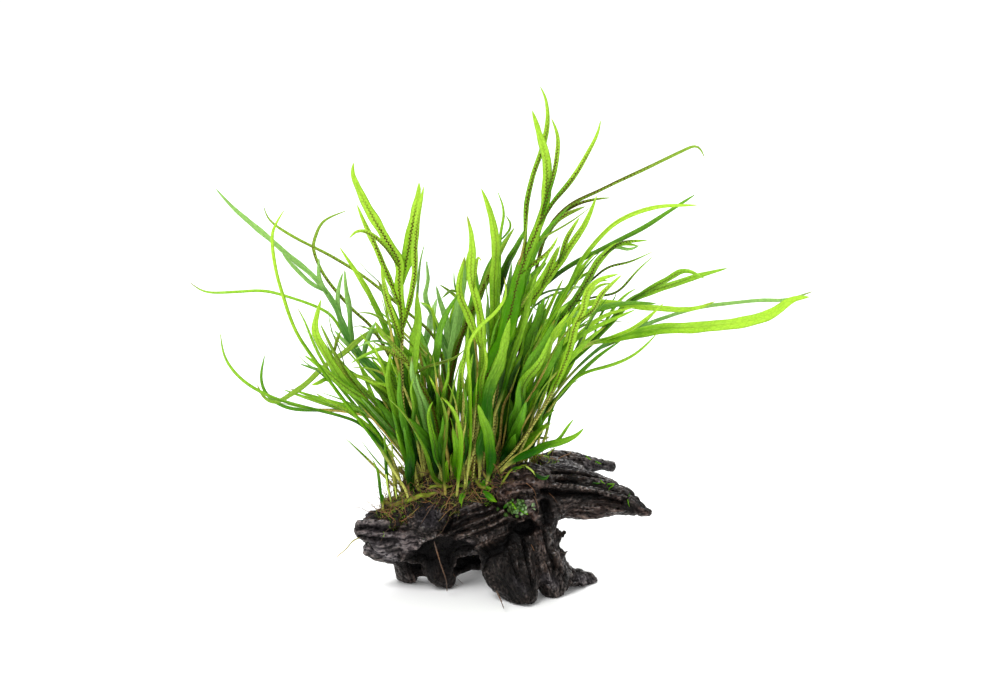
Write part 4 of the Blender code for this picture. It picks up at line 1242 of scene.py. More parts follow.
# For each kind: how many, then the ranges of width in mm, of length as a share of the neighbours' and of the
# share where the body begins, how often each finish is drawn, and the part of the picture that it keeps to
COMPANION_KINDS = {
    "low": (8, (3.6, 5.2), (0.24, 0.36), (0.0, 0.1), dict(dark_green=1), (410, 545)),
    "broad": (26, (3.6, 5.2), (0.32, 0.6), (0.0, 0.15), dict(dark_green=5, green=4), (400, 545)),
    "leaf": (
        84, (1.8, 3.6), (0.4, 0.82), (0.08, 0.4),
        dict(green=5, dark_green=3, lime=4, grey_green=1), (360, 590),
    ),
    "stalk": (56, (0.8, 1.4), (0.45, 0.95), (0.5, 0.8), dict(olive=4, lime=3, green=3), (360, 600)),
}
NEIGHBOURS = 4
CROSSING_STALKS = 50
LONG_BLADE = 20
COMPANION_RISE = 0.25
COMPANION_TURN = 40
COMPANION_MARGIN = 8
CROSSING_RISE = (0.55, 0.8)
CROSSING_KNOTS = (0, 0.3, 0.6, 0.85, 1)
CROSSING_TURN = 30
chance = random.Random(11)
mains = [blade for blade in blades if blade.parent is None and len(blade.flat) > LONG_BLADE]
mains.sort(key=lambda blade: blade.flat[len(blade.flat) // 2][0])
companions = []
for kind, (count, widths, parts, starts, finishes, (left, right)) in COMPANION_KINDS.items():
    while count:
        one = chance.randrange(len(mains) - NEIGHBOURS)
        one, other = mains[one], mains[one + chance.randint(1, NEIGHBOURS)]
        way, part = chance.uniform(0.2, 0.8), chance.uniform(*parts)
        knots = []
        for share in np.linspace(0.12, part, COMPANION_KNOTS):
            ends = [blade.flat[int(share * (len(blade.flat) - 1))] for blade in (one, other)]
            knots.append(tuple(ends[0] + (ends[1] - ends[0]) * way + chance.uniform(-2.5, 2.5)))
        if not left < knots[COMPANION_KNOTS // 2][0] < right:
            continue
        middle = one.seat.lerp(other.seat, way)
        across = traced(middle)[0] + chance.uniform(-4, 4)
        seat = stand_on(ground, across, max(middle.y / MM, 20) + chance.uniform(-3, 6), FOOTPRINT, 0)
        foot = traced(seat)
        knots = [foot] + [knot for knot in knots if knot[1] < foot[1] - COMPANION_MARGIN]
        tip_depth = part * (one.depth[-1] + (other.depth[-1] - one.depth[-1]) * way) / MM
        name = f"companion_{kind}_{count}"
        start = chance.uniform(*starts)
        body_rises[name] = (start, start + COMPANION_RISE)
        turn = chance.uniform(-COMPANION_TURN, COMPANION_TURN)
        companion = Blade(name, knots, seat, None, tip_depth, chance.uniform(*widths), turn)
        companion.slot = "frond_" + chance.choices(list(finishes), finishes.values())[0]
        companions.append(companion)
        count -= 1
for number in range(CROSSING_STALKS):
    across, depth = chance.uniform(402, 520), chance.uniform(16, 38)
    seat = stand_on(ground, across, depth, FOOTPRINT, 0)
    foot = traced(seat)
    lean, climb = chance.choice((-1, 1)) * chance.uniform(12, 62), chance.uniform(45, 105)
    bow = chance.uniform(-0.35, 0.35)
    knots = [
        (foot[0] + lean * (way + bow * way * (1 - way)), foot[1] - climb * way) for way in CROSSING_KNOTS
    ]
    name = f"companion_crossing_{number}"
    body_rises[name] = CROSSING_RISE
    tip_depth = depth + chance.uniform(-14, 14)
    crossing = Blade(name, knots, seat, None, tip_depth, chance.uniform(0.7, 1.4), CROSSING_TURN)
    crossing.slot = "frond_" + chance.choice(("olive", "lime", "green", "dark_green"))
    companions.append(crossing)
settle_depths(blades + slips + companions, set(blades), COMPANION_ROUNDS)
print("companions:", len(companions))

# %% [markdown]
# ## One leaf
# A java fern's frond is a thin blade on a wiry stalk: a soft sheet with a raised midrib on its back, folded a
# little along it, with a wavy margin. A sheet cut from a grid could bend that way, but it would have no
# thickness. So each blade is a grid rolled into a flat sleeve: half of its columns are the face and half the
# back. Every point is placed by the section of the leaf at its row, and the doubles at the seam are merged.

# %% Leaf sections
LEAF_STEP = 1.5 * MM
SLEEVE_COLUMNS = 16
LAMINA = 0.13 * MM
STALK_ROUND = 0.62 * MM
RIB_HEIGHT = 0.3 * MM
RIB_SPREAD = 0.42 * MM
# The half width where a stalk begins to flatten into a blade, and over how much more it is flat
FLAT_FROM = 0.75 * MM
FLAT_OVER = 0.9 * MM
FACE_RIB = 0.35
SUNK = 1.6 * MM
BENEATH = 0.13 * MM
TURN_EASING = 12 * MM
END_HALF_WIDTH = 0.02 * MM
SEAM = 0.02 * MM
# The margin's short ripples and long waves, and the half widths where they set in and are full
RIPPLE_LENGTHS = (3.1 * MM, 1.7 * MM)
RIPPLED_FROM = 1.2 * MM
WAVE_LENGTH = 4.3 * MM
FULL_WAVES_FROM = 2.5 * MM
LEAF_LAYERS = ("across", "wide", "along", "share", "body", "tint", "dotted")


def mesh_with(layers):
    """An empty bmesh that keeps a number for each point under each of these names."""
    bm = bmesh.new()
    for name in layers:
        bm.verts.layers.float.new(name)
    return bm


def leaf_spine(blade):
    """Rows along a blade: centres; half widths, shares and body; run directions; distances along it."""
    line = blade.midrib()
    for _ in range(2):
        line[1:-1] = 0.25 * line[:-2] + 0.5 * line[1:-1] + 0.25 * line[2:]
    if blade.parent is None:
        line = np.vstack([line[0] - (0, 0, SUNK), line])
        half = np.concatenate([blade.half[:1], blade.half])
        share = np.concatenate([[0], blade.share])
        body = np.concatenate([[0], blade.body])
    else:
        half, share, body = blade.half, blade.share, blade.body
    travelled = np.concatenate([[0], np.cumsum(np.linalg.norm(np.diff(line, axis=0), axis=1))])
    rows = max(6, int(round(travelled[-1] / LEAF_STEP)))
    along = np.linspace(0, travelled[-1], rows + 1)
    centres = np.column_stack([np.interp(along, travelled, column) for column in line.T])
    run = np.gradient(centres, axis=0)
    run /= np.linalg.norm(run, axis=1)[:, None]
    columns = [np.interp(along, travelled, column) for column in (half, share, body)]
    return centres, columns, run, along


def leaf_turns(blade, along):
    """The turn of the face at each row: a fork starts with its parent's turn and eases into its own."""
    if blade.parent is None:
        return np.full(len(along), blade.turn)
    eased = np.clip(along / TURN_EASING, 0, 1)
    return blade.parent.turn + (blade.turn - blade.parent.turn) * (3 * eased**2 - 2 * eased**3)


def half_thickness(offset, half, face):
    """Half the thickness at an offset from the midrib: round on a stalk, thin with a rib on a blade."""
    across = min(1.0, abs(offset) / half)
    bulge = math.sqrt(1 - across**2)
    flat = min(1.0, max(0.0, (half - FLAT_FROM) / FLAT_OVER))
    rib = RIB_HEIGHT * (1.0 if face < 0 else FACE_RIB) * math.exp(-((offset / RIB_SPREAD) ** 2))
    sheet = (LAMINA + rib * min(1, half / (2 * MM))) * min(1, 4 * bulge)
    stalk = min(half, STALK_ROUND) * bulge
    return sheet * flat + stalk * (1 - flat)


def leaf_frames(centres, run, turns):
    """For each row of a leaf: its centre, the way across it and the way its face looks."""
    frames = []
    for centre, direction, turn in zip(centres, run, turns):
        centre, direction = Vector(centre), Vector(direction)
        side = direction.cross(EYE - centre).normalized()
        front = side.cross(direction).normalized()
        across = side * math.cos(turn) + front * math.sin(turn)
        frames.append((centre, across, across.cross(direction).normalized()))
    return frames


def grow_leaf(bm, blade, look):
    """Adds one blade to a bmesh. look gives its fold, ripple, wave, tint and dots."""
    centres, (halves, shares, bodies), run, along = leaf_spine(blade)
    frames = leaf_frames(centres, run, leaf_turns(blade, along))
    rows = len(along) - 1
    grid = bmesh.ops.create_grid(bm, x_segments=SLEEVE_COLUMNS, y_segments=rows, size=1)["verts"]
    layers = {name: bm.verts.layers.float[name] for name in LEAF_LAYERS}
    phase = look["tint"] * 40
    for vert in grid:
        row = round((vert.co.y + 1) / 2 * rows)
        roll = (vert.co.x + 1) / 2
        face = 1 if roll <= 0.5 else -1
        edge = -1 + 4 * roll if face > 0 else 3 - 4 * roll
        half = END_HALF_WIDTH if row in (0, rows) else halves[row]
        centre, across, normal = frames[row]
        run_on = along[row]
        first, second = (run_on / length for length in RIPPLE_LENGTHS)
        ripple = 0.10 * math.sin(first + phase + edge) + 0.06 * math.sin(second + 2 * phase)
        wide = edge * half * (1 + look["ripple"] * ripple if half > RIPPLED_FROM else 1)
        wave = math.sin(run_on / WAVE_LENGTH + phase + (1.3 if edge > 0 else 0))
        waved = look["wave"] * min(1.0, half / FULL_WAVES_FROM) * edge * edge * wave * MM
        bend = waved - look["fold"] * abs(wide)
        if blade.parent is not None:
            bend -= BENEATH
        lift = face * half_thickness(edge * half, half, face)
        vert.co = centre + across * (wide * math.cos(look["fold"])) + normal * (lift + bend)
        share = shares[row] if blade.parent is None else 0.45 + 0.55 * shares[row]
        values = (edge, wide / MM, run_on / MM, share, bodies[row], look["tint"], look["dotted"])
        for layer, value in zip(layers.values(), values):
            vert[layer] = value
    bmesh.ops.remove_doubles(bm, verts=grid, dist=SEAM)


print("leaf rows every", LEAF_STEP / MM, "mm")

# %% [markdown]
# ## Leaf finishes
# A living frond glows where light comes through it. Its colour goes from a yellow-green stalk to a fresh
# green body and a paler tip, with a darker margin and a brown midrib that wavers, and painted shade darkens it
# low down near the wood. On older fronds pairs of brown dots lie beside it, where the spores form. Fine veins
# make a net between. One recipe makes all five finishes, because they differ only in their colours. Light
# through the leaf is a translucent shader mixed in.

# %% The leaf recipe
GLOW = 0.38
DOT_RATE = 0.65
DOT_ASIDE = 0.36
# Each finish: its name, the colours of its stalk, deep places, body, tip and midrib, and its roughness
LEAF_RECIPES = {
    "frond_lime": (
        "lime_leaf", (214, 214, 112), (74, 140, 2), (146, 198, 22), (182, 222, 66), (76, 50, 10), 0.4
    ),
    "frond_green": (
        "green_leaf", (206, 206, 104), (40, 104, 2), (116, 178, 18), (160, 208, 58), (58, 42, 10), 0.38
    ),
    "frond_dark_green": (
        "dark_leaf", (172, 178, 78), (16, 62, 2), (72, 138, 12), (116, 174, 44), (42, 34, 8), 0.34
    ),
    "frond_grey_green": (
        "grey_leaf", (182, 192, 112), (66, 126, 40), (120, 174, 78), (158, 202, 110), (90, 96, 50), 0.42
    ),
    "frond_olive": (
        "olive_leaf", (208, 190, 98), (70, 104, 8), (124, 162, 28), (154, 190, 62), (84, 50, 14), 0.4
    ),
}


def leaf_finish(name, *colours, gloss):
    """A leaf material from its stalk, deep, body, tip and midrib colours and its roughness."""
    stalk, deep, body, tip, rib = (paint(*colour) for colour in colours)
    material, start, surface = new_material(name)
    objects = start.objects()
    wide = start.attribute("wide")
    along = start.attribute("along")
    across = abs(start.attribute("across"))
    share = start.attribute("share")
    tint = start.attribute("tint")
    dotted = start.attribute("dotted")
    body_share = start.attribute("body")

    # The flesh: blotches and streaks between deep and body, then tip, aged end, painted shade near the wood,
    # stalk and veins
    blotch = start.speckle(objects, 95.0, 3.0, 0.55)
    cloud = start.speckle(objects, 30.0, 1.0, 0.5)
    on_leaf = start.node("ShaderNodeCombineXYZ", {}, {0: wide, 1: along * 0.5, 2: tint * 50})
    cells = {"Vector": on_leaf, "Scale": 0.8}
    net = start.node("ShaderNodeTexVoronoi", {"feature": "DISTANCE_TO_EDGE"}, cells)
    veins = 1 - net.ramp(0.02, 0.16)
    lengthwise = start.node("ShaderNodeCombineXYZ", {}, {0: wide * 2.2, 1: along * 0.12, 2: tint * 30})
    streaks = start.speckle(lengthwise, 1.0)
    lighter = (blotch - 0.5) * 0.8 + (cloud - 0.5) * 1.0 + (streaks - 0.5) * 0.8 + (tint - 0.5) * 0.8
    flesh = (lighter + across * 0.35 + share * 0.5 + 0.04).ramp(0.1, 0.95).blend(deep, body)
    fresh = (share * 1.2 + lighter * 0.3).ramp(0.45, 1.05).blend(flesh, tip)
    aged = (share.ramp(0.94, 1.0) * tint.ramp(0.7, 0.95) * 0.7).blend(fresh, paint(150, 112, 44))
    flecks = start.speckle(objects, 700.0, 2.0, 0.5).ramp(0.56, 0.68) * 0.6
    # Painted shade: below about 10 cm the leaf's colour is multiplied darker, as the tuft shades its own lower
    # parts
    height = start.node("ShaderNodeSeparateXYZ", {}, {0: objects}, 2)
    shadowed = height.ramp(0.055, 0.105, 0.85, 0.0).blend(aged, paint(170, 206, 96), "MULTIPLY")
    green = body_share.ramp(0.0, 0.5).blend(flecks.blend(stalk, paint(120, 92, 34)), shadowed)
    veined = (veins * 0.2).blend(green, deep)

    # The midrib: a line that wavers, then the dots beside it, left and right in turn and a little out of step
    run = start.node("ShaderNodeCombineXYZ", {}, {0: along * 0.42, 1: tint * 70})
    waver = (start.speckle(run, 1.0, 1.0) - 0.5) * 0.4
    middle = abs(wide + waver)
    line = (1 - middle.ramp(0.06, 0.26)) * dotted.ramp(0.0, 1.0, 0.2, 0.9)
    short_of_tip = share.ramp(0.97, 0.75)
    lined = (line * short_of_tip).blend(veined, rib)
    right = start.math("GREATER_THAN", wide, 0.0)
    pace = along * DOT_RATE + right * 0.5
    number = start.math("FLOOR", pace) + right * 37
    luck = start.node("ShaderNodeTexWhiteNoise", {"noise_dimensions": "1D"}, {"W": number})
    beat = (start.math("FRACT", pace) - 0.5) * (1 / DOT_RATE)
    aside = middle - DOT_ASIDE
    reach = start.math("SQRT", aside * aside + beat * beat) - luck * 0.2
    dots = (1 - reach.ramp(0.1, 0.3)) * dotted.ramp(0.3, 1.0) * short_of_tip
    leaf = dots.blend(lined, rib)

    bump = (veins * -0.5 + blotch * 0.5 + streaks * 0.5 + line * 0.5 + dots * 0.6).bump(0.5, 0.0004)
    start.fill(surface, {
        "Base Color": leaf,
        "Roughness": blotch.ramp(0.3, 0.7, gloss - 0.06, gloss + 0.1),
        "Coat Weight": streaks.ramp(0.5, 0.75, 0.0, 0.45),
        "Coat Roughness": 0.28,
        "Specular IOR Level": 0.12,
        "Normal": bump,
    })
    through = start.node("ShaderNodeBsdfTranslucent", {}, {"Color": leaf, "Normal": bump})
    reflected = Wire(start.tree, surface.outputs[0])
    mixed = start.node("ShaderNodeMixShader", {}, {0: GLOW, 1: reflected, 2: through})
    start.fill(material.node_tree.nodes["Material Output"], {"Surface": mixed})
    return material


FINISHES = {slot: leaf_finish(*recipe, gloss=gloss) for slot, (*recipe, gloss) in LEAF_RECIPES.items()}
print("leaf finishes:", len(FINISHES))

# %% [markdown]
# ## The fronds
# Every frond of the solids gets its fine leaf, with its forks, in the same place, and the solid is hidden
# behind it. The companions are gathered in one piece per finish.

# %% Fronds and companions
SLOT_OF = {row["node"]: row["material_slot"] for row in frame["record"]["subparts"]}
# How strongly the midrib of a frond is dotted, and how light a frond is from 0 to 1
DOTTED = dict(
    trident=1, tallest=1, dotted=1, dotted_right=1, olive_middle=1, hook_right=1, lime_right=0.8,
    upright_left=0.6, upright_middle=0.5, forked_right=0.6, yellow_front=0.8, lime_left=0.4,
    long_left=0.7, curl_left=0.9, olive_left=0.6, arched_lime=0.4, dark_right=0.5,
)
TINTS = dict(
    trident=0.4, tallest=0.0, lime_left=0.3, yellow_front=0.5, blue_green=0.8, grey_forked=0.5,
    thread_left=0.9, faint_left=0.9, strap_left=0.6, broad_right=0.5, dark_strap=0.1, front_leaf=0.5,
    dotted=0.0, dotted_right=0.1, upright_middle=0.4, lime_right=0.4, forked_right=0.3,
)


def leaf_look(dotted, tint=None):
    """A leaf's own fold, margin, tint and dots."""
    return dict(
        fold=math.radians(chance.uniform(5, 16)),
        ripple=chance.uniform(0.4, 1.1),
        wave=chance.uniform(0.15, 0.5),
        tint=chance.random() if tint is None else tint,
        dotted=dotted,
    )


for name in seats:
    bm = mesh_with(LEAF_LAYERS)
    look = leaf_look(DOTTED.get(name, 0.0), TINTS.get(name))
    for blade in blades:
        if blade.frond == name:
            grow_leaf(bm, blade, look)
    slot = SLOT_OF["frond_" + name]
    add_piece("leaf_" + name, bm, FINISHES[slot], slot, ["frond_" + name])
for slot, finish in FINISHES.items():
    bm = mesh_with(LEAF_LAYERS)
    for small in slips + companions:
        if small.slot == slot:
            grow_leaf(bm, small, leaf_look(chance.choice((0, 0, 0.6))))
    add_piece(slot.replace("frond", "companions"), bm, finish, slot)

# %% [markdown]
# ## Rhizomes and roots
# The rhizome is a thick green stem that creeps on the wood, scaly and brown where it is old and bright green
# where it grows. The roots are wiry and reddish brown. Both are tubes that follow the solids' own lines, with
# knots and a taper, so a tube's grid is rolled up as a leaf's is, with a round section.

# %% Stems and roots
TUBE_STEP = 0.8 * MM
TUBE_END = 0.01 * MM
TUBE_SEAM = 0.012 * MM
TUBE_LAYERS = ("along", "tint")


def grow_tube(bm, points, radius, taper, lumps, columns, step=TUBE_STEP, tint=None):
    """Adds a closed tube along points, with a radius, the share of it left at the tip, and its lumps."""
    line = smooth_path([tuple(point) for point in points], step)
    rows = len(line) - 1
    run = np.gradient(line, axis=0)
    grid = bmesh.ops.create_grid(bm, x_segments=columns, y_segments=rows, size=1)["verts"]
    along_layer, tint_layer = (bm.verts.layers.float[name] for name in TUBE_LAYERS)
    tint = chance.random() if tint is None else tint
    for vert in grid:
        row = round((vert.co.y + 1) / 2 * rows)
        angle = (vert.co.x + 1) * math.pi
        direction = Vector(run[row]).normalized()
        side = direction.orthogonal() if abs(direction.y) > 0.9 else direction.cross((0, 1, 0))
        side.normalize()
        up = side.cross(direction)
        swell = 1 + lumps * noise.noise(Vector((row * 0.35, math.cos(angle), math.sin(angle) + tint * 30)))
        around = radius * (1 - (1 - taper) * (row / rows)) * swell
        if row in (0, rows):
            around = TUBE_END
        elif row in (1, rows - 1):
            around *= 0.75
        vert.co = Vector(line[row]) + (side * math.cos(angle) + up * math.sin(angle)) * around
        vert.co.z = max(0, vert.co.z)
        vert[along_layer] = row * step / MM
        vert[tint_layer] = tint
    bmesh.ops.remove_doubles(bm, verts=grid, dist=TUBE_SEAM)


RHIZOMES = {
    "rhizome_left": [(382, 22), (398, 24), (418, 22), (438, 25), (456, 30)],
    "rhizome_right": [(466, 22), (484, 27), (504, 25), (524, 30), (546, 28)],
}
ROOTS = {
    "root_hanging": [(434, 541, 7), (440, 562, 6), (446, 580, 8), (447, 592, 12)],
    "root_front": [(496, 590, -5), (501, 601, -8), (504, 609, -13)],
    "root_left": [(361, 537, 16), (353, 541, 15), (346, 549, 13), (339, 555, 11), (336, 559, 10)],
}
ROOT_TINTS = {"root_hanging": 0.25, "root_front": 0.35, "root_left": 1.1}
ROOT_RADIUS = 0.32 * MM

rhizome_skin, start, surface = new_material("rhizome_skin")
objects = start.objects()
scales = start.speckle(objects, 420.0, 3.0, 0.6)
young = start.speckle(objects, 60.0, 2.0, 0.5).colours(
    (0.32, 84, 62, 34), (0.47, 104, 112, 44), (0.6, 128, 170, 52), (0.75, 150, 200, 60)
)
start.fill(surface, {
    "Base Color": scales.ramp(0.4, 0.62).blend(paint(58, 42, 26), young),
    "Roughness": scales.ramp(0.3, 0.7, 0.42, 0.62),
    "Normal": scales.bump(0.7, 0.0004),
})

root_skin, start, surface = new_material("root_skin")
worn = start.speckle(start.objects(), 260.0, 3.0, 0.6)
start.fill(surface, {
    "Base Color": (worn * 0.7 + start.attribute("tint") * 0.6 - 0.15).colours(
        (0.15, 34, 22, 14), (0.4, 78, 52, 30), (0.65, 132, 86, 46), (0.85, 118, 120, 50), (1.0, 186, 160, 96)
    ),
    "Roughness": worn.ramp(0.3, 0.7, 0.45, 0.65),
    "Normal": worn.bump(0.6, 0.0003),
})

wood_top = BVHTree.FromBMesh(joined(WOOD_NODES))
for name, bends in RHIZOMES.items():
    line = smooth_path([(across * PIXEL, depth * MM) for across, depth in bends], 4 * MM)
    points = [stand_on(wood_top, x / PIXEL, y / MM, RHIZOME_RADIUS, RHIZOME_RADIUS) for x, y in line]
    bm = mesh_with(TUBE_LAYERS)
    grow_tube(bm, points, RHIZOME_RADIUS, taper=0.8, lumps=0.5, columns=14)
    add_piece(name.replace("rhizome", "stem"), bm, rhizome_skin, "rhizome", [name])
for name, bends in ROOTS.items():
    points = [place(x, y, depth * MM) for x, y, depth in bends]
    bm = mesh_with(TUBE_LAYERS)
    grow_tube(bm, points, ROOT_RADIUS, taper=0.6, lumps=0.45, columns=8, tint=ROOT_TINTS[name])
    add_piece("wiry_" + name, bm, root_skin, "root", [name])
print("stems and roots:", len(RHIZOMES) + len(ROOTS))

# %% [markdown]
# ## Small growth on the wood
# Around the feet of the fronds a fern on wood grows untidily: young rhizomes, buds, first leaves, roots and
# bits of moss cover the bark. Their skins are matt, and each leaflet and fibre has its own tint.

# %% Young stems, moss and cushion
def growth_skin(name, fineness, *stops):
    """A matt skin that takes its colour from each leaflet's tint and a fine speckle."""
    material, start, surface = new_material(name)
    grains = start.speckle(start.objects(), fineness, 3.0, 0.6)
    start.fill(surface, {
        "Base Color": (start.attribute("tint") * 0.8 + (grains - 0.5) * 1.1 + 0.1).colours(*stops),
        "Roughness": grains.ramp(0.3, 0.7, 0.45, 0.65),
        "Specular IOR Level": 0.12,
        "Normal": grains.bump(0.5, 0.0003),
    })
    return material


young_skin = growth_skin(
    "young_stem", 300.0, (0.1, 92, 78, 34), (0.4, 112, 128, 34), (0.65, 142, 176, 50), (0.9, 182, 204, 92)
)
moss_skin = growth_skin(
    "moss", 200.0, (0.05, 92, 58, 24), (0.25, 60, 72, 16), (0.5, 76, 112, 20), (0.95, 140, 178, 50)
)
cushion_skin = growth_skin(
    "moss_cushion", 260.0, (0.05, 34, 54, 16), (0.35, 60, 88, 32), (0.65, 88, 116, 72), (0.95, 128, 152, 108)
)
felt_finish = growth_skin(
    "root_felt", 330.0, (0.1, 12, 8, 4), (0.32, 44, 29, 12), (0.5, 76, 82, 24), (0.8, 124, 118, 50)
)

# %% [markdown]
# ## The root and moss mat
# Java fern holds on with a felt of thin rusty roots, and moss grows through it and hides the feet of the
# fronds. A real felt is far too fine to model hair by hair, so its body is a few flattened balls on the wood,
# merged by a voxel remesh and made rough with noise. The outer roots are fine tubes of few faces that creep
# over it, and the moss is thousands of narrow leaflets, each a flattened four-sided cone. Hair curves would
# not be exported.

# %% The felt
# Balls of felt: across in the tracing, depth, and reaches across, in depth and upwards in mm
FELT = [
    (396, 19, 5, 5, 3), (406, 18, 6, 6, 6.5), (418, 18, 7, 6.5, 9.5), (432, 18.5, 8, 6.5, 11.5),
    (446, 19, 8, 6.5, 12), (459, 19, 7, 6.5, 11), (471, 19, 7, 6.5, 8.5), (484, 19, 5, 6, 5),
    (420, 31, 8, 8, 8), (440, 33, 9, 8, 9), (460, 33, 9, 8, 9), (478, 30, 7, 7, 6),
    (498, 22, 5, 6, 2.6), (512, 24, 5, 6, 2.2), (528, 26, 5, 5, 1.8), (545, 28, 5, 5, 1.6),
    (390, 26, 4, 4, 1.6),
]
FELT_CELL = 0.8 * MM
CUFFED_BEFORE = 23
# Roots and moss sprout where the felt stands this far above the wood
SPROUTS_ABOVE = 0.2 * MM
# The felt's bumps: height and size in mm
FELT_BUMPS = ((1.3, 2.6), (0.8, 1.1))
corners = [vert.co for vert in fine.vertices]
wood_skin = BVHTree.FromPolygons(corners, [face.vertices[:] for face in fine.polygons])


def on_wood(across, depth):
    """The highest point of the carved wood in a column, or nothing beside the wood."""
    x = place(across, WOOD_ROW, depth * MM).x
    return wood_skin.ray_cast(Vector((x, depth * MM, HIGH_ABOVE)), DOWN)[0]


# A frond that stands near the front gets a cuff of felt at its foot
for across, depth in seats.values():
    if depth < CUFFED_BEFORE:
        FELT.append((across, depth - 0.5, 3, 3.2, 4.2))
bm = bmesh.new()
for across, depth, *reaches in FELT:
    middle = Matrix.Translation(on_wood(across, depth))
    ball = middle @ Matrix.Diagonal([*(reach * MM for reach in reaches), 1])
    bmesh.ops.create_icosphere(bm, subdivisions=3, radius=1, matrix=ball)
rough_felt = mesh_object("rough_felt", bm)
remesh = rough_felt.modifiers.new("remesh", "REMESH")
remesh.mode, remesh.voxel_size = "VOXEL", FELT_CELL
bm = bmesh.new()
bm.from_object(rough_felt, bpy.context.evaluated_depsgraph_get())
bpy.data.objects.remove(rough_felt)
bm.normal_update()
for vert in bm.verts:
    push = sum(height * noise.noise(vert.co / (size * MM)) for height, size in FELT_BUMPS)
    vert.co += vert.normal * push * MM
bm.normal_update()
felt_skin = BVHTree.FromBMesh(bm)
sprouts = [
    (vert.co.copy(), vert.normal.copy())
    for vert in bm.verts
    if (on := wood_skin.find_nearest(vert.co))[0] and (vert.co - on[0]).dot(on[1]) > SPROUTS_ABOVE
]
add_piece("root_felt", bm, felt_finish, "root")
print("felt points:", len(sprouts))

# %% [markdown]
# ## Young stems and first leaves
# Each is traced in the view and laid on the carved wood or the felt by a ray from the eye, so that it rests
# on the surface from any side. Where a ray misses both, the point keeps the depth of the one before.

# %% Laying things on the wood
FALLS_AWAY = 6 * MM


def land(across, down, lift, depth):
    """The traced point on the wood or the felt, lifted towards the eye, or one in the air at this depth."""
    ray = ray_through(across, down).normalized()
    hits = [hit for skin in (wood_skin, felt_skin) if (hit := skin.ray_cast(EYE, ray))[0]]
    if not hits:
        return place(across, down, depth)
    spot, normal, _, _ = min(hits, key=lambda hit: hit[3])
    return spot + (normal - ray).normalized() * lift


def lie(points, lift, depth):
    """A traced line, laid on the wood. Where the wood falls away behind the line, it keeps its depth."""
    line = []
    for across, down in points:
        point = land(across, down, lift * MM, line[-1].y if line else depth * MM)
        if line and abs(point.y - line[-1].y) > FALLS_AWAY:
            point = place(across, down, line[-1].y)
        line.append(point)
    return line


# Stems: radius in mm, the depth where the wood is missed in mm, and the line. The thinnest are pale stalks
PALE_BELOW = 0.43
OLD_ABOVE = 0.9
CREEPERS = """
1.15 17: 380,501 386,503 393,505 403,502 412,499 420,496 428,494 437,492
1.0 18: 398,466 403,473 409,479 416,486 421,492
0.7 20: 432,455 441,460 449,466 457,468 467,467
0.5 22: 451,455 460,455 468,452 479,449
1.1 16: 465,462 468,470 474,478 480,486 486,488
1.3 14: 430,473 435,480 441,485 449,486
0.5 24: 499,487 505,479 511,471 518,468 527,465
0.4 24: 525,466 531,470 537,476 544,479
0.7 28: 538,456 547,458 553,462 558,463
0.6 30: 529,440 537,438 545,438 550,437
0.4 26: 547,455 552,451 556,447
0.6 24: 470,482 463,486 456,487
0.5 15: 401,500 409,490 414,482 416,474
0.5 19: 424,492 434,486 444,488 455,485
0.45 21: 440,478 452,474 464,476
0.42 15: 384,436 386,455 386,472 388,488 392,504
0.36 16: 391,440 393,458 394,478 397,500
0.38 14: 376,438 384,452 390,462 397,476 404,488 411,497
0.34 13: 366,427 377,444 388,461 397,474
0.36 18: 386,446 397,459 407,473 414,481
0.3 17: 384,449 391,443 398,438 409,436 417,440
0.34 12: 458,444 463,437 466,428
"""
chance = random.Random(7)
bm = mesh_with(TUBE_LAYERS)
for radius, depth, points in read_rows(CREEPERS):
    if radius < PALE_BELOW:
        tint = 1.0
    else:
        tint = chance.uniform(0.1, 0.4) if radius > OLD_ABOVE else chance.uniform(0.3, 0.9)
    line = lie(points, radius * 0.7, depth)
    grow_tube(bm, line, radius * MM, taper=0.75, lumps=0.55 if tint < 1 else 0.2, columns=8, tint=tint)
add_piece("creeping_stems", bm, young_skin, "rhizome")
print("creepers:", CREEPERS.count(":"))

# First leaves: width in mm, finish, and the midrib
SPRIGS = """
2.8 lime: 484,491 488,495 492,499 498,502
2.6 lime: 467,488 463,494 461,500 461,507
2.2 green: 476,480 470,483 465,488 463,491
2.6 lime: 481,487 484,483 488,480 492,482
2.4 lime: 480,486 484,487 489,489 494,488
2.2 lime: 480,485 479,481 482,478
1.8 dark: 535,473 539,478 544,479 549,475
1.6 lime: 546,456 550,459 555,463 559,462
1.4 green: 512,470 517,468 523,468
0.8 lime: 586,455 588,458 591,460
0.8 lime: 595,461 598,463 601,464
0.8 lime: 599,478 602,482 605,484
0.8 lime: 607,484 610,485 614,484
0.6 lime: 609,489 612,487 614,484
0.8 dark: 592,483 596,484 601,483
0.6 green: 629,493 628,500 630,507
1.8 grey: 505,507 509,504 513,502
1.6 lime: 512,503 515,508 519,512
2.0 green: 519,508 523,511 528,514
1.2 green: 384,500 383,496 381,493
1.4 green: 418,490 414,486 411,485
1.6 dark: 431,467 426,463 422,465 418,470
1.5 lime: 449,464 453,460 456,459
1.6 green: 468,459 472,463 476,467
"""


class Sprig:
    """A first leaf: the few facts that grow_leaf needs, with a lens-shaped outline."""

    def __init__(self, points, width, turn):
        line = smooth_path([tuple(point) for point in points], 1.0 * MM)
        self.line, self.turn, self.parent = line, turn, None
        self.share = np.linspace(0, 1, len(line))
        self.body = np.ones(len(line))
        self.half = np.maximum(width / 2 * MM * np.sin(math.pi * (0.12 + 0.88 * self.share**0.85)), 0.15 * MM)

    def midrib(self):
        """The midrib's points in space."""
        return self.line.copy()


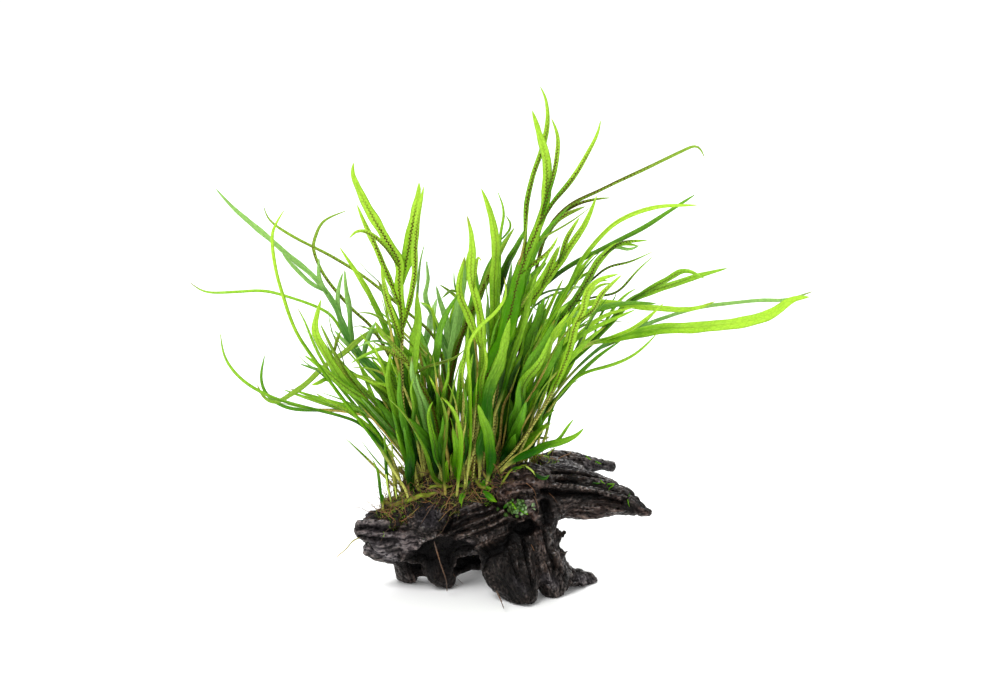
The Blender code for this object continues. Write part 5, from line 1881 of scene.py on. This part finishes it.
for finish, slot in SLIP_FINISHES.items():
    bm = mesh_with(LEAF_LAYERS)
    for width, kind, points in read_rows(SPRIGS):
        if kind == finish:
            sprig = Sprig(lie(points, 0.8, 22), width, chance.uniform(-0.5, 0.5))
            grow_leaf(bm, sprig, leaf_look(0, chance.uniform(0.4, 1)))
    if bm.verts:
        add_piece("sprigs_" + finish, bm, FINISHES["frond_" + slot], "frond_" + slot)
print("sprigs:", SPRIGS.count(":"))

# %% Root fibres
ROOT_FIBRES = 1150
FIBRE_KNOTS = 6
FIBRE_STEP = 2.0 * MM
CLIMB_STEP = 3.3 * MM
FIBRE_RADII = (0.09, 0.22)
HUGGING_SHARE = 0.68
CLIMB_PULL = 1.3
FIBRE_WANDER = 0.45


def any_direction(spread):
    """A random vector of about this length."""
    return Vector([chance.gauss(0, spread) for _ in range(3)])


bm = mesh_with(TUBE_LAYERS)
climbing_spots = []
for _ in range(ROOT_FIBRES):
    spot, normal = chance.choice(sprouts)
    hugging = chance.random() < HUGGING_SHARE
    stride = FIBRE_STEP if hugging else CLIMB_STEP
    climb = Vector((0, 0, 0 if hugging else CLIMB_PULL))
    heading = (normal * 0.4 + climb + any_direction(1)).normalized()
    line = [spot - normal * 0.3 * MM]
    for _ in range(FIBRE_KNOTS - 1):
        heading = (heading + any_direction(FIBRE_WANDER)).normalized()
        point = line[-1] + heading * stride * chance.uniform(0.6, 1.3)
        if hugging:
            near_spot, out, _, _ = felt_skin.find_nearest(point)
            point = near_spot + out * chance.uniform(0.0, 0.9) * MM
        line.append(point)
    radius = chance.uniform(*FIBRE_RADII) * MM
    grow_tube(bm, line, radius, taper=0.5, lumps=0.2, columns=4, step=1.6 * MM)
    if not hugging:
        climbing_spots += line[1:]
add_piece("root_mat", bm, root_skin, "root")

# %% Moss leaflets
MOSS_LEAFLETS = 2000
CLIMBING_LEAFLETS = 900
CREEPER_LEAFLETS = 420
BUD_LEAFLETS = 70
LEAFLET = dict(cap_ends=False, segments=4, radius1=0.5, radius2=0.06, depth=1)
FLATNESS = 0.35
MOSS_PATCH = 6 * MM


def add_cone(bm, centre, out, size, tint, shape):
    """A small cone around a centre that points out, with a size along its own x, y and z."""
    turned = out.to_track_quat("Z", "Y").to_matrix().to_4x4()
    matrix = Matrix.Translation(centre) @ turned @ Matrix.Diagonal((*size, 1))
    layer = bm.verts.layers.float["tint"]
    for vert in bmesh.ops.create_cone(bm, matrix=matrix, **shape)["verts"]:
        vert[layer] = tint


def leaflet(spot, out, length, width, tint):
    """One moss leaflet: a flattened cone of four sides that points out from a spot."""
    add_cone(bm, spot + out * length / 2, out, (width, FLATNESS * width, length), tint, LEAFLET)


def any_way(lift):
    """A random direction with an upward lift."""
    heading = chance.uniform(0, math.tau)
    return Vector((math.cos(heading), math.sin(heading), chance.uniform(-0.4, 1.0) + lift)).normalized()


bm = mesh_with(["tint"])
for _ in range(MOSS_LEAFLETS):
    spot, normal = chance.choice(sprouts)
    patch = noise.noise(spot / MOSS_PATCH)
    tint = min(1, max(0, 0.45 + 0.9 * patch + chance.uniform(-0.25, 0.25)))
    out = (normal + any_way(0.2)).normalized()
    leaflet(spot - out * 0.2 * MM, out, chance.uniform(0.9, 2.4) * MM, chance.uniform(0.25, 0.6) * MM, tint)
for _ in range(CLIMBING_LEAFLETS):
    size = chance.uniform(0.7, 1.8) * MM
    leaflet(chance.choice(climbing_spots), any_way(0.2), size, 0.3 * size, chance.uniform(0.1, 0.9))
creepers = [points for *_, points in read_rows(CREEPERS)]
for _ in range(CREEPER_LEAFLETS):
    knots = chance.choice(creepers[:2] + creepers)
    one = chance.randrange(len(knots) - 1)
    way = chance.random()
    across = knots[one][0] + (knots[one + 1][0] - knots[one][0]) * way + chance.uniform(-1.5, 1.5)
    down = knots[one][1] + (knots[one + 1][1] - knots[one][1]) * way + chance.uniform(-1, 2)
    spot = land(across, down, 0.2 * MM, 19 * MM)
    out = any_way(0.2)
    length, width = chance.uniform(0.7, 1.6) * MM, chance.uniform(0.3, 0.6) * MM
    leaflet(spot, out, length, width, chance.uniform(0.5, 1))
add_piece("moss", bm, moss_skin, "frond_green")

# %% [markdown]
# ## The moss hollow, hairs and twigs
# In the hollow of the boss sits a cushion of round, blue-grey-green leaflets. A few hairs hang from the feet
# of the wood, and a dead twig and a little antler of wood stick out. The twigs are tubes in the wood's own
# finish, so they keep the ridges, the red and the grain that it reads.

# %% Cushion, hairs and twigs
BUD = dict(cap_ends=True, segments=7, radius1=0.55, radius2=0.2, depth=0.3)
# The cushion's middle and its spread in the tracing
CUSHION = ((518, 6.5), (506, 3.6))
bm = mesh_with(["tint"])
for _ in range(BUD_LEAFLETS):
    across, down = (chance.gauss(*spread) for spread in CUSHION)
    spot = land(across, down, chance.uniform(0, 1.6) * MM, 10 * MM)
    out = any_way(0.2)
    out = (out + (EYE - spot).normalized() * 0.6).normalized()
    size = chance.uniform(1.2, 2.1) * MM
    tint = min(1, max(0, (across - 508) / 22 + chance.uniform(-0.35, 0.35)))
    add_cone(bm, spot, out, (size, size, size), tint, BUD)
add_piece("moss_cushion", bm, cushion_skin, "frond_grey_green")

# Hairs: radius in mm, the depth where the wood is missed in mm, and the line
HAIRS = """
0.12 12: 452,573 456,578 460,581 464,585
0.12 12: 454,584 458,586 462,589
0.12 10: 531,544 533,549 536,555
0.14 14: 533,495 536,500 538,507 538,514
0.12 14: 520,480 528,484 534,490 536,497
0.12 12: 548,492 553,497 558,504
0.14 13: 410,488 405,492 401,497 396,503
0.13 16: 379,503 380,509 379,515
0.12 18: 386,506 387,511 385,516
0.12 12: 437,497 439,505 437,513
0.12 12: 446,494 450,503 448,512
0.12 12: 500,487 497,494 499,503
"""
HAIR_LIFT = 0.3
bm = mesh_with(TUBE_LAYERS)
for radius, depth, points in read_rows(HAIRS):
    grow_tube(bm, lie(points, HAIR_LIFT, depth), radius * MM, taper=0.5, lumps=0.1, columns=5)
add_piece("root_hairs", bm, root_skin, "root")

# Twigs: radius in mm, the share of it left at the tip, and points (across, down, depth in mm)
TWIGS = [
    (1.35, 0.75, [(452, 452, 26), (457, 443, 26), (460, 436, 25), (467, 427, 24)]),
    (0.8, 0.7, [(459, 438, 25), (463, 434, 22), (469, 433, 20)]),
    (1.5, 0.55, [(556, 566, 22), (557, 558, 22), (556, 548, 21), (559, 538, 20), (566, 531, 20)]),
    (0.9, 0.3, [(557, 560, 22), (562, 555, 21), (568, 551, 21)]),
    (0.7, 0.4, [(556, 548, 21), (553, 543, 21), (552, 538, 21)]),
]
bm = mesh_with(TUBE_LAYERS)
for radius, taper, points in TWIGS:
    line = [place(across, down, depth * MM) for across, down, depth in points]
    grow_tube(bm, line, radius * MM, taper, lumps=0.9, columns=12, step=0.5 * MM)
twigs = add_piece("twigs", bm, bog_wood, "driftwood")
spots = [vert.co for vert in twigs.data.vertices]
keep_attribute(twigs.data, "ridge", [noise.noise(spot / (1.3 * MM)) for spot in spots])
keep_attribute(twigs.data, "red", [0.5] * len(spots))
keep_attribute(twigs.data, "grain", [tuple(spot / MM) for spot in spots])
print("hairs:", HAIRS.count(":"), "twigs:", len(TWIGS))

# %% Sizes and finish
dressed_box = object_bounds()
[[list(corner) for corner in box] for box in (cad_box, dressed_box)]
print("solids mm:", [[round(c / MM, 1) for c in corner] for corner in cad_box])
print("dressed mm:", [[round(c / MM, 1) for c in corner] for corner in dressed_box])
